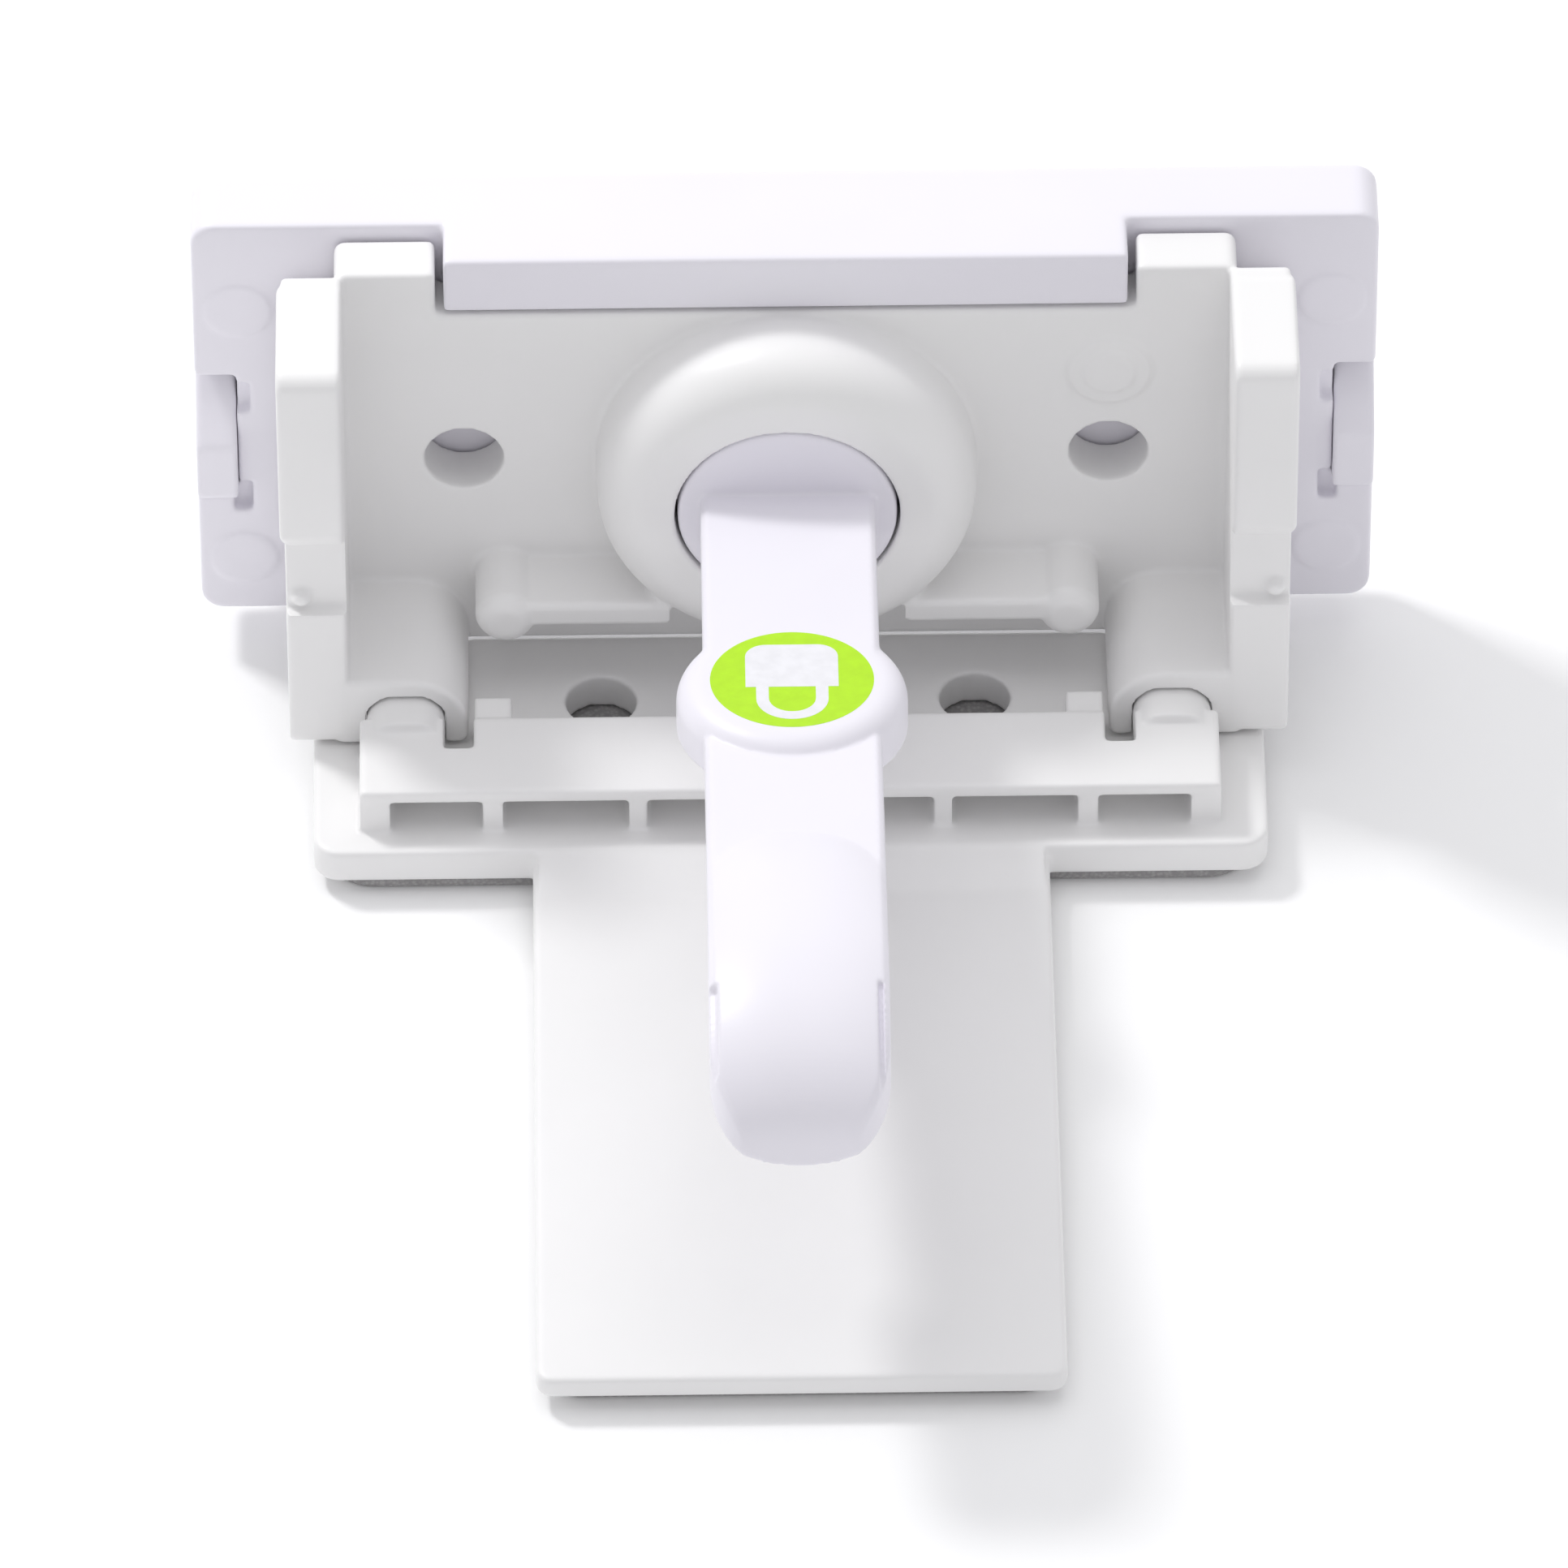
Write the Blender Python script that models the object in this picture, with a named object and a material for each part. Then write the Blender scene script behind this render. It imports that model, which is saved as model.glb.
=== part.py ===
"""Adhesive child-safety latch for an appliance door, modelled as a jointed assembly.

A T-shaped door plate lies flat and carries a hinge beam. A flap stands on the hinge and holds a turning
lever in its collar. A catch, a cover clipped on a base, stands behind the flap and is held by the lever's cam.

X runs to the right, Y to the back and Z up. Pieces are drawn with the front face of the flap's wall as the
plane Y = 0, the middle of the latch as X = 0 and the underside of the door plate's foam as Z = 0. The whole
latch then moves along Y, so that the origin lies under the middle of it. Sizes in the script are millimetres.
"""

import math

import bmesh
import bpy
from mathutils import Vector

MM = 0.001
GAP = 0.3
ROUND_STEPS = 36
CORNER_STEPS = 4

# Door plate: a crossbar with a stem to the front, stuck on with foam
BAR_HALF = 44.4
BAR_FRONT = -28.7
BAR_TOP = 5.2
BAR_BACK = 0.6
BAR_END_BACK = -10.5
BAR_MIDDLE_HALF = 30.2
STEM_HALF = 24.0
STEM_FRONT = -96.3
STEM_TOP = 3.9
FOAM_THICK = 1.2
FOAM_INSET = 1.6
BAR_FOAM_FRONT = BAR_FRONT + 0.9
STEM_RAMP = 4.5
PLATE_BOTTOM = FOAM_THICK + GAP
PLATE_HOLE_X = 17.5
PLATE_HOLE_Y = -8.3
PLATE_HOLE_RADIUS = 3.3

# Hinge beam on the door plate
BEAM_HALF = 40.0
BEAM_FRONT = -25.9
BEAM_BACK = -15.6
BEAM_TOP = 10.2
BEAM_SKIN = 1.5
BEAM_LEGS = ((13.3, 15.0), (26.7, 28.6), (37.2, BEAM_HALF))
POST_X = (25.8, 29.3)
POST_BACK = -12.4
BEAM_NOTCH_X = (29.4, 32.2)
BEAM_NOTCH_FRONT = -19.7

# Hinge
HINGE_Y = 2.1
HINGE_Z = 9.9
ARM_X = (32.3, 39.2)
ARM_TOP = 10.4
ARM_BOTTOM = 7.3
KNUCKLE_RADIUS = 2.6
PIN_RADIUS = 1.0
PIN_X = (30.7, 46.2)

# Flap
FLAP_HALF = 46.6
FLAP_BOTTOM = BAR_TOP + GAP
WALL_BACK = 5.05
WALL_TOP = 46.3
TAB_X = (32.4, 41.7)
TAB_TOP = 51.4
EAR_INNER = 41.0
EAR_FRONT = -14.3
EAR_TOP = 51.5
PAD_BOTTOM = 30.8
PAD_PROUD = 0.4
NOTCH_BOTTOM = 22.0
NOTCH_DEPTH = 1.3
HOOD_INNER = 29.9
HOOD_TOP = 13.2
HOOD_CORNER = 5.3
ARCH_X = (32.0, 39.5)
ARCH_TOP = 11.5
ARCH_CORNER = 2.3
FLAP_HOLE_X = 30.0
FLAP_HOLE_RADIUS = 3.65
RIB_Z = (13.4, 16.15)
RIB_FRONT = -7.0
BOSS_X = 26.3
BOSS_Z = 14.2
BOSS_RADIUS = 2.85

# Collar and rotor, turning about an axis along Y
AXIS_Z = 28.5
COLLAR_RADIUS = 17.65
COLLAR_FRONT = -8.6
COLLAR_EDGE = 4.6
ROTOR_RADIUS = 10.2
ROTOR_FRONT = -8.3
ROTOR_BACK = 0.7
BORE_RADIUS = ROTOR_RADIUS + GAP
WEB_FRONT = 1.7
WEB_BACK = 2.8
NECK_RADIUS = 6.0
NECK_BACK = 7.35
KEY_HALF = 3.0
KEY_BACK = 9.35
DETENT_RADIUS = 9.6
DETENT_BACK = 3.9
POCKET_RADIUS = DETENT_RADIUS + 0.5
RETAINER_FRONT = DETENT_BACK + GAP
RETAINER_BACK = 4.95
RETAINER_HALF = 12.6
RETAINER_Z = (10.4, 42.4)
RETAINER_BAR_HALF = 30.4
RETAINER_BAR_TOP = 18.0
SCREW_RADIUS = 1.0
SCREW_HEAD_RADIUS = 2.0
SCREW_TIP = -4.8

# Lever, in its own frame: it runs along -Y from its root, and its top is Z = 0
LEVER_TILT = math.radians(8.0)
LEVER_ROOT_Z = 31.1
LEVER_HALF = 8.1
LEVER_THICK = 6.0
LEVER_STEP = 1.2
DISC_AT = 29.7
DISC_RADIUS = 10.6
DISC_THICK = 6.2
DISC_EDGE = 2.4
INLAY_RADIUS = 7.5
GRIP_START = 52.0
GRIP_FULL = 62.5
GRIP_CROWN = 1.5
NOSE_START = 68.0
NOSE_END = 85.5
NOSE_DROP = 13.0
NOSE_ROUND = 5.2

# Catch
CATCH_HALF = 55.0
CATCH_BOTTOM = 4.7
CATCH_TOP = 52.9
CATCH_FRONT = WALL_BACK + GAP
CATCH_BACK = 12.6
CATCH_WALL = 2.0
LIP_HALF = 31.6
LIP_BOTTOM = 46.7
RELIEF_HALF = 30.4
RELIEF_TOP = 10.0
SLOT_HALF = NECK_RADIUS + 0.5
CLAW_HALF = 12.0
CLAW_WIDTH = 9.0
CLAW_FRONT = NECK_BACK + GAP
CLAW_BACK = 9.65
BASE_FRONT = 10.9
HOOK_X = (51.4, CATCH_HALF)
HOOK_FRONT = 4.0
HOOK_Z = (19.6, 26.4)
HOOK_TOP = 33.0
WINDOW_INNER = 51.0
WINDOW_Z = (19.2, 34.3)
WINDOW_SLOTS_Z = ((17.3, 21.0), (29.6, 33.4))
WINDOW_SLOT_INNER = 49.9
CATCH_FOAM_BACK = CATCH_BACK + GAP + 1.0

WARM_WHITE = (0.88, 0.88, 0.87, 1.0)
COOL_WHITE = (0.87, 0.865, 0.92, 1.0)
FOAM_GREY = (0.45, 0.44, 0.44, 1.0)
LIME = (0.49, 0.84, 0.0, 1.0)
STEEL = (0.60, 0.60, 0.62, 1.0)


# --- Outlines -----------------------------------------------------------------------------------------------


def rounded(corners, steps=CORNER_STEPS):
    """An outline through corners (u, v, radius), each one turned by an arc of its radius."""
    points = []
    for index, (u, v, radius) in enumerate(corners):
        here = Vector((u, v))
        if radius <= 0:
            points.append(here)
            continue
        back = (Vector(corners[index - 1][:2]) - here).normalized()
        ahead = (Vector(corners[(index + 1) % len(corners)][:2]) - here).normalized()
        half_angle = back.angle(ahead) / 2
        centre = here + (back + ahead).normalized() * (radius / math.sin(half_angle))
        start = here + back * (radius / math.tan(half_angle)) - centre
        end = here + ahead * (radius / math.tan(half_angle)) - centre
        first = math.atan2(start.y, start.x)
        turn = (math.atan2(end.y, end.x) - first + math.pi) % math.tau - math.pi
        for step in range(steps + 1):
            angle = first + turn * step / steps
            points.append(centre + radius * Vector((math.cos(angle), math.sin(angle))))
    return points


def rectangle(u_low, u_high, v_low, v_high, radius=0.0):
    corners = [(u_low, v_low), (u_high, v_low), (u_high, v_high), (u_low, v_high)]
    return rounded([(u, v, radius) for u, v in corners])


def circle(u, v, radius, steps=ROUND_STEPS):
    angles = [math.tau * step / steps for step in range(steps)]
    return [Vector((u + radius * math.cos(angle), v + radius * math.sin(angle))) for angle in angles]


def mirrored(outline):
    return [Vector((-point.x, point.y)) for point in reversed(outline)]


def signed_area(outline):
    return sum(a.cross(b) for a, b in zip(outline, outline[1:] + outline[:1])) / 2


def inset(outline, distance):
    """The anticlockwise outline moved inwards, corner by corner."""
    moved = []
    for index, here in enumerate(outline):
        arriving = (here - outline[index - 1]).normalized()
        leaving = (outline[(index + 1) % len(outline)] - here).normalized()
        inward = Vector((-arriving.y, arriving.x))
        bisector = (inward + Vector((-leaving.y, leaving.x))).normalized()
        moved.append(here + bisector * (distance / max(bisector.dot(inward), 0.2)))
    return moved


# --- Solids -------------------------------------------------------------------------------------------------

ALONG = {
    "X": lambda u, v, w: (w, u, v),
    "Y": lambda u, v, w: (u, w, v),
    "Z": lambda u, v, w: (u, v, w),
}


def skin(name, rings):
    """A closed solid through rings of points in millimetres, with a flat cap on the first and the last."""
    mesh = bmesh.new()
    loops = [[mesh.verts.new(Vector(point) * MM) for point in ring] for ring in rings]
    for low, high in zip(loops, loops[1:]):
        for index in range(len(low)):
            mesh.faces.new((low[index - 1], low[index], high[index], high[index - 1]))
    mesh.faces.new(loops[0][::-1])
    mesh.faces.new(loops[-1])
    bmesh.ops.recalc_face_normals(mesh, faces=mesh.faces)
    data = bpy.data.meshes.new(name)
    mesh.to_mesh(data)
    mesh.free()
    made = bpy.data.objects.new(name, data)
    bpy.context.scene.collection.objects.link(made)
    return made


def slab(name, outline, axis, low, high, edge=0.0):
    """An outline extruded along an axis, with its rims chamfered by edge."""
    if signed_area(outline) < 0:
        outline = outline[::-1]
    levels = [(low, 0.0), (high, 0.0)]
    if edge:
        levels = [(low, edge), (low + edge, 0.0), (high - edge, 0.0), (high, edge)]
    rings = [[ALONG[axis](p.x, p.y, level) for p in inset(outline, back)] for level, back in levels]
    return skin(name, rings)


def block(name, x, y, z, edge=0.0):
    return slab(name, rectangle(*x, *y), "Z", *z, edge)


def rod(name, axis, centre, radius, low, high, edge=0.0):
    return slab(name, circle(*centre, radius), axis, low, high, edge)


def turned(name, profile, axis, centre, steps=ROUND_STEPS):
    """A solid of revolution from (radius, place along the axis) points."""
    rings = []
    for radius, along in profile:
        rings.append([ALONG[axis](p.x, p.y, along) for p in circle(*centre, radius, steps)])
    return skin(name, rings)


def combine(target, others, operation):
    for other in others:
        modifier = target.modifiers.new(operation.lower(), "BOOLEAN")
        modifier.operation = operation
        modifier.solver = "EXACT"
        modifier.object = other
        graph = bpy.context.evaluated_depsgraph_get()
        result = bpy.data.meshes.new_from_object(target.evaluated_get(graph))
        target.modifiers.clear()
        old = target.data
        target.data = result
        result.name = old.name
        bpy.data.meshes.remove(old)
        bpy.data.objects.remove(other)
    return target


def unite(target, *others):
    return combine(target, others, "UNION")


def cut(target, *others):
    return combine(target, others, "DIFFERENCE")


def both_sides(make):
    """make(side) for the left, -1, and the right, +1."""
    return [make(-1), make(1)]


def side_range(side, low, high):
    return sorted((side * low, side * high))


def material(name, colour, roughness, metallic=0.0):
    made = bpy.data.materials.new(name)
    made.use_nodes = True
    shader = made.node_tree.nodes["Principled BSDF"]
    shader.inputs["Base Color"].default_value = colour
    shader.inputs["Roughness"].default_value = roughness
    shader.inputs["Metallic"].default_value = metallic
    made.diffuse_color = colour
    return made


def finish(made, parent, colour, roughness=0.4, metallic=0.0):
    """Gives a piece its own material, smooth round faces and its place in the assembly."""
    made.data.materials.clear()
    made.data.materials.append(material(made.name, colour, roughness, metallic))
    made.data.shade_smooth()
    made.data.set_sharp_from_angle(angle=math.radians(30))
    if parent is not None:
        made.parent = parent
        made.matrix_parent_inverse = parent.matrix_world.inverted()
    return made


def pivot(name, place, parent=None):
    made = bpy.data.objects.new(name, None)
    made.location = Vector(place) * MM
    bpy.context.scene.collection.objects.link(made)
    bpy.context.view_layer.update()
    if parent is not None:
        made.parent = parent
        made.matrix_parent_inverse = parent.matrix_world.inverted()
        bpy.context.view_layer.update()
    return made


# --- Door plate ---------------------------------------------------------------------------------------------


def hinge_arm(side):
    """An arm from the beam to the knuckle round the hinge pin."""
    section = rounded(
        [
            (ARM_X[0], ARM_BOTTOM, 0.4),
            (ARM_X[1], ARM_BOTTOM, 0.4),
            (ARM_X[1], ARM_TOP, ARCH_CORNER - 0.2),
            (ARM_X[0], ARM_TOP, ARCH_CORNER - 0.2),
        ]
    )
    arm = slab("arm", section if side > 0 else mirrored(section), "Y", BEAM_BACK - 2.0, HINGE_Y)
    x = side_range(side, *ARM_X)
    return unite(arm, rod("knuckle", "X", (HINGE_Y, HINGE_Z), KNUCKLE_RADIUS, *x))


def stem_ramp():
    """The slope from the crossbar's top down to the stem's."""
    side = [
        (BAR_FRONT + 1.0, STEM_TOP - 1.0),
        (BAR_FRONT + 1.0, BAR_TOP - 0.05),
        (BAR_FRONT + 0.5, BAR_TOP - 0.05),
        (BAR_FRONT - STEM_RAMP, STEM_TOP - 0.02),
        (BAR_FRONT - STEM_RAMP, STEM_TOP - 1.0),
    ]
    return slab("ramp", [Vector(point) for point in side], "X", -STEM_HALF + 0.5, STEM_HALF - 0.5)


def door_plate():
    bar = rounded(
        [
            (-BAR_HALF, BAR_FRONT, 2.5),
            (BAR_HALF, BAR_FRONT, 2.5),
            (BAR_HALF, BAR_END_BACK, 0.8),
            (BAR_MIDDLE_HALF, BAR_END_BACK, 0.5),
            (BAR_MIDDLE_HALF, BAR_BACK, 0.8),
            (-BAR_MIDDLE_HALF, BAR_BACK, 0.8),
            (-BAR_MIDDLE_HALF, BAR_END_BACK, 0.5),
            (-BAR_HALF, BAR_END_BACK, 0.8),
        ]
    )
    plate = slab("door_plate", bar, "Z", PLATE_BOTTOM, BAR_TOP, 0.4)
    stem = rounded(
        [
            (-STEM_HALF, STEM_FRONT, 1.5),
            (STEM_HALF, STEM_FRONT, 1.5),
            (STEM_HALF, BAR_FRONT + 3.0, 0.0),
            (-STEM_HALF, BAR_FRONT + 3.0, 0.0),
        ]
    )
    unite(plate, slab("stem", stem, "Z", PLATE_BOTTOM + 0.05, STEM_TOP, 0.5))
    unite(plate, stem_ramp())
    beam_x = (-BEAM_HALF, BEAM_HALF)
    unite(plate, block("beam", beam_x, (BEAM_FRONT, BEAM_BACK), (BEAM_TOP - BEAM_SKIN, BEAM_TOP), 0.4))
    for low, high in BEAM_LEGS:
        for side in (-1, 1):
            x = side_range(side, low, high)
            leg = block("leg", x, (BEAM_FRONT + 0.1, BEAM_BACK - 0.1), (BAR_TOP - 0.5, BEAM_TOP - 0.6))
            unite(plate, leg)
    for side in (-1, 1):
        rear_x = side_range(side, BEAM_LEGS[1][1] - 0.5, BEAM_LEGS[2][0] + 0.5)
        unite(plate, block("cell", rear_x, (BEAM_BACK - 1.6, BEAM_BACK - 0.2), (BAR_TOP - 0.5, BEAM_TOP - 0.7)))
        post_x = side_range(side, *POST_X)
        unite(plate, block("post", post_x, (BEAM_BACK - 1.0, POST_BACK), (BAR_TOP - 0.5, BEAM_TOP - 0.5)))
        notch_x = side_range(side, *BEAM_NOTCH_X)
        cut(plate, block("notch", notch_x, (BEAM_NOTCH_FRONT, BEAM_BACK + 1.0), (BAR_TOP + 1.0, BEAM_TOP + 1.0)))
        unite(plate, hinge_arm(side))
        pin_bore = rod("bore", "X", (HINGE_Y, HINGE_Z), PIN_RADIUS + GAP, *side_range(side, 31.0, 40.6))
        hole = rod("hole", "Z", (side * PLATE_HOLE_X, PLATE_HOLE_Y), PLATE_HOLE_RADIUS, 0.0, BAR_TOP + 1.0)
        cut(plate, pin_bore, hole)
    return plate


def foam(name, outline):
    return slab(name, outline, "Z", 0.0, FOAM_THICK)


def crossbar_foam():
    corners = [
        (-BAR_HALF + FOAM_INSET, BAR_FOAM_FRONT, 4.0),
        (BAR_HALF - FOAM_INSET, BAR_FOAM_FRONT, 4.0),
        (BAR_HALF - FOAM_INSET, BAR_END_BACK - FOAM_INSET, 1.0),
        (BAR_MIDDLE_HALF - FOAM_INSET, BAR_END_BACK - FOAM_INSET, 0.0),
        (BAR_MIDDLE_HALF - FOAM_INSET, BAR_BACK - FOAM_INSET, 1.0),
        (-BAR_MIDDLE_HALF + FOAM_INSET, BAR_BACK - FOAM_INSET, 1.0),
        (-BAR_MIDDLE_HALF + FOAM_INSET, BAR_END_BACK - FOAM_INSET, 0.0),
        (-BAR_HALF + FOAM_INSET, BAR_END_BACK - FOAM_INSET, 1.0),
    ]
    return foam("crossbar_foam", rounded(corners))


def stem_foam():
    half = STEM_HALF - FOAM_INSET
    return foam("stem_foam", rectangle(-half, half, STEM_FRONT + FOAM_INSET, BAR_FOAM_FRONT - 0.4, 2.5))


def hinge_pin(side):
    name = "hinge_pin_left" if side < 0 else "hinge_pin_right"
    return rod(name, "X", (HINGE_Y, HINGE_Z), PIN_RADIUS, *side_range(side, *PIN_X), 0.2)


# --- Flap ---------------------------------------------------------------------------------------------------


def wall_outline():
    right = [
        (FLAP_HALF, FLAP_BOTTOM, 1.2),
        (FLAP_HALF, WALL_TOP, 1.0),
        (TAB_X[1], WALL_TOP, 0.8),
        (TAB_X[1], TAB_TOP, 1.0),
        (TAB_X[0], TAB_TOP, 0.6),
        (TAB_X[0], WALL_TOP, 0.8),
    ]
    left = [(-x, z, radius) for x, z, radius in reversed(right)]
    return rounded(right + left)


def ear(side):
    """The side wall: a plate with a thicker grip pad above and a shallow notch below it."""
    x = side_range(side, EAR_INNER, FLAP_HALF)
    plate = rectangle(EAR_FRONT, 0.5, FLAP_BOTTOM, EAR_TOP, 1.2)
    made = slab("ear", plate, "X", *x, 0.4)
    pad_outline = rectangle(EAR_FRONT - PAD_PROUD, -0.6, PAD_BOTTOM, EAR_TOP + 0.1, 1.6)
    unite(made, slab("pad", pad_outline, "X", *side_range(side, EAR_INNER + 0.1, FLAP_HALF + PAD_PROUD), 0.4))
    notch_x = side_range(side, EAR_INNER - 1.0, FLAP_HALF + 1.0)
    cut(made, block("notch", notch_x, (EAR_FRONT - 2.0, EAR_FRONT + NOTCH_DEPTH), (NOTCH_BOTTOM, PAD_BOTTOM)))
    nub = turned("nub", [(0.9, -12.6), (0.9, -13.4), (0.55, -13.9)], "Y", (side * 45.2, 23.4), 12)
    return unite(made, nub)


def hood(side):
    """The cover over a hinge arm, hollow from below and from the front."""
    outline = rounded(
        [
            (HOOD_INNER, FLAP_BOTTOM, 1.0),
            (EAR_INNER + 1.0, FLAP_BOTTOM, 0.0),
            (EAR_INNER + 1.0, HOOD_TOP, 0.0),
            (HOOD_INNER, HOOD_TOP, HOOD_CORNER),
        ]
    )
    return slab("hood", outline if side > 0 else mirrored(outline), "Y", EAR_FRONT + 0.05, 0.5, 0.4)


def hood_hollow(side):
    outline = rounded(
        [
            (ARCH_X[0], FLAP_BOTTOM - 3.0, 0.0),
            (ARCH_X[1], FLAP_BOTTOM - 3.0, 0.0),
            (ARCH_X[1], ARCH_TOP, ARCH_CORNER),
            (ARCH_X[0], ARCH_TOP, ARCH_CORNER),
        ]
    )
    tunnel = slab("tunnel", outline if side > 0 else mirrored(outline), "Y", EAR_FRONT - 2.0, WALL_BACK + 2.0)
    x = side_range(side, *ARCH_X)
    return unite(tunnel, rod("room", "X", (HINGE_Y, HINGE_Z), KNUCKLE_RADIUS + GAP + 0.05, *x))


def collar():
    straight = COLLAR_FRONT + COLLAR_EDGE
    profile = [(COLLAR_RADIUS, 0.5)]
    for step in range(CORNER_STEPS + 1):
        angle = math.pi / 2 * step / CORNER_STEPS
        along = straight - COLLAR_EDGE * math.sin(angle)
        profile.append((COLLAR_RADIUS - COLLAR_EDGE * (1 - math.cos(angle)), along))
    return turned("collar", profile, "Y", (0.0, AXIS_Z))


def wing(side):
    """A rib from the collar along the foot of the wall, ending in a round boss."""
    made = block("rib", side_range(side, 11.0, BOSS_X), (RIB_FRONT, 0.5), RIB_Z, 0.6)
    profile = [(BOSS_RADIUS, 0.5), (BOSS_RADIUS, RIB_FRONT + 0.6), (BOSS_RADIUS - 1.2, RIB_FRONT - 0.4)]
    return unite(made, turned("boss", profile, "Y", (side * BOSS_X, BOSS_Z), 20))


def retainer_outline(spare):
    """A plate over the detent, with a bar across its foot for the two screws."""
    right = [
        (RETAINER_BAR_HALF + spare, RETAINER_Z[0] - spare, 1.0),
        (RETAINER_BAR_HALF + spare, RETAINER_BAR_TOP + spare, 1.0),
        (RETAINER_HALF + spare, RETAINER_BAR_TOP + spare, 1.0),
        (RETAINER_HALF + spare, RETAINER_Z[1] + spare, 1.0),
    ]
    return rounded(right + [(-x, z, radius) for x, z, radius in reversed(right)])


def flap_frame():
    frame = slab("flap_frame", wall_outline(), "Y", 0.0, WALL_BACK, 0.4)
    unite(frame, collar(), *both_sides(ear), *both_sides(hood), *both_sides(wing))
    cut(frame, *both_sides(hood_hollow))
    axis = (0.0, AXIS_Z)
    cut(frame, rod("bore", "Y", axis, BORE_RADIUS, COLLAR_FRONT - 1.0, WEB_FRONT))
    cut(frame, rod("web_hole", "Y", axis, NECK_RADIUS + 0.5, WEB_FRONT - 1.0, WEB_BACK + 1.0))
    cut(frame, rod("rear_pocket", "Y", axis, POCKET_RADIUS, WEB_BACK, WALL_BACK + 1.0))
    cut(frame, slab("retainer_pocket", retainer_outline(GAP), "Y", DETENT_BACK, WALL_BACK + 1.0))
    for sign in (-1, 1):
        spring_z = sorted((AXIS_Z + sign * 8.0, AXIS_Z + sign * 12.6))
        cut(frame, block("spring_pocket", (-10.5, 10.5), (WEB_BACK, WALL_BACK + 1.0), spring_z))
        hole_centre = (sign * FLAP_HOLE_X, AXIS_Z)
        cut(frame, rod("hole", "Y", hole_centre, FLAP_HOLE_RADIUS, -1.0, WALL_BACK + 1.0))
        boss_centre = (sign * BOSS_X, BOSS_Z)
        cut(frame, rod("boss_bore", "Y", boss_centre, SCREW_RADIUS + GAP, SCREW_TIP - GAP, WALL_BACK))
        pin_x = side_range(sign, PIN_X[0] - GAP, FLAP_HALF + 1.0)
        cut(frame, rod("pin_bore", "X", (HINGE_Y, HINGE_Z), PIN_RADIUS + GAP, *pin_x))
    foot = [Vector((WALL_BACK - 1.4, FLAP_BOTTOM - 1.0)), Vector((WALL_BACK + 1.0, FLAP_BOTTOM - 1.0))]
    foot += [Vector((WALL_BACK + 1.0, FLAP_BOTTOM + 1.4)), Vector((WALL_BACK, FLAP_BOTTOM + 1.4))]
    foot += [Vector((WALL_BACK - 1.4, FLAP_BOTTOM))]
    return cut(frame, slab("foot_bevel", foot, "X", -FLAP_HALF - 1.0, FLAP_HALF + 1.0))


# --- Lever and rotor ----------------------------------------------------------------------------------------


def nose_drop(along):
    """How far the lever has curved down at a distance from its root."""
    share = max(0.0, (along - NOSE_START) / (NOSE_END - NOSE_START))
    return (NOSE_DROP - GRIP_CROWN) * (1 - math.sqrt(max(0.0, 1 - share * share)))


def lever_top(across, along):
    """Height of the lever's top: flat, a step down after the disc, then a crowned grip that curves over."""
    flat = 0.0 if along < DISC_AT else -LEVER_STEP
    short = max(0.0, GRIP_FULL - along) / (GRIP_FULL - GRIP_START)
    crown = GRIP_CROWN * (1 - (across / (LEVER_HALF + 0.2)) ** 2 - short * short)
    if along < GRIP_START:
        crown = 0.0
    return flat + max(crown, 0.0) - nose_drop(along)


def lever_half(along):
    """Half the lever's width, closing in round the tip."""
    start = NOSE_END - 6.0
    share = max(0.0, along - start) / (NOSE_END + 0.4 - start)
    return LEVER_HALF - 4.6 * (1 - math.sqrt(max(0.0, 1 - share * share)))


def lever_bottom(along):
    blend = min(max((along - 60.0) / 12.0, 0.0), 1.0)
    smooth = blend * blend * (3 - 2 * blend)
    return -LEVER_THICK - smooth * (NOSE_DROP + LEVER_STEP - LEVER_THICK - 0.4)


def lever_ring(along, across_steps=8):
    half = lever_half(along)
    across = [half * (2 * step / across_steps - 1) for step in range(across_steps + 1)]
    bottom = lever_bottom(along)
    top = [(x, -along, max(lever_top(x, along), bottom + 0.6)) for x in across]
    side_drop = 0.5
    top[0] = (top[0][0], -along, top[0][2] - side_drop)
    top[-1] = (top[-1][0], -along, top[-1][2] - side_drop)
    return top + [(half, -along, bottom + 0.4), (half - 0.6, -along, bottom)] + [
        (-half + 0.6, -along, bottom),
        (-half, -along, bottom + 0.4),
    ]


def lever_stations():
    places = [-2.0, DISC_AT - 0.01, DISC_AT + 0.01, GRIP_START]
    places += [GRIP_START + 2.0 * step for step in range(1, 8)]
    span = NOSE_END - NOSE_START
    places += [NOSE_START + span * math.sin(math.pi / 2 * step / 7) for step in range(0, 8)]
    return places


def nose_corner(side):
    """What is cut from a lower corner of the grip, which leaves its end round."""
    low = lever_bottom(NOSE_END)
    high = low + NOSE_ROUND
    outline = [Vector((side * (LEVER_HALF + 1.0), high)), Vector((side * (LEVER_HALF + 1.0), low - 1.0))]
    outline += [Vector((0.0, low - 1.0)), Vector((0.0, low))]
    for step in range(1, CORNER_STEPS * 2 + 1):
        angle = math.pi / 2 * step / (CORNER_STEPS * 2)
        across = (LEVER_HALF + 0.1) * math.sin(angle)
        outline.append(Vector((side * across, high - NOSE_ROUND * math.cos(angle))))
    return slab("nose_corner", outline, "Y", -NOSE_END - 3.0, -GRIP_FULL)


def place_on_lever(made):
    made.location = Vector((0.0, ROTOR_FRONT, LEVER_ROOT_Z)) * MM
    made.rotation_euler = (-LEVER_TILT, 0.0, 0.0)
    bpy.context.view_layer.update()
    return made


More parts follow.
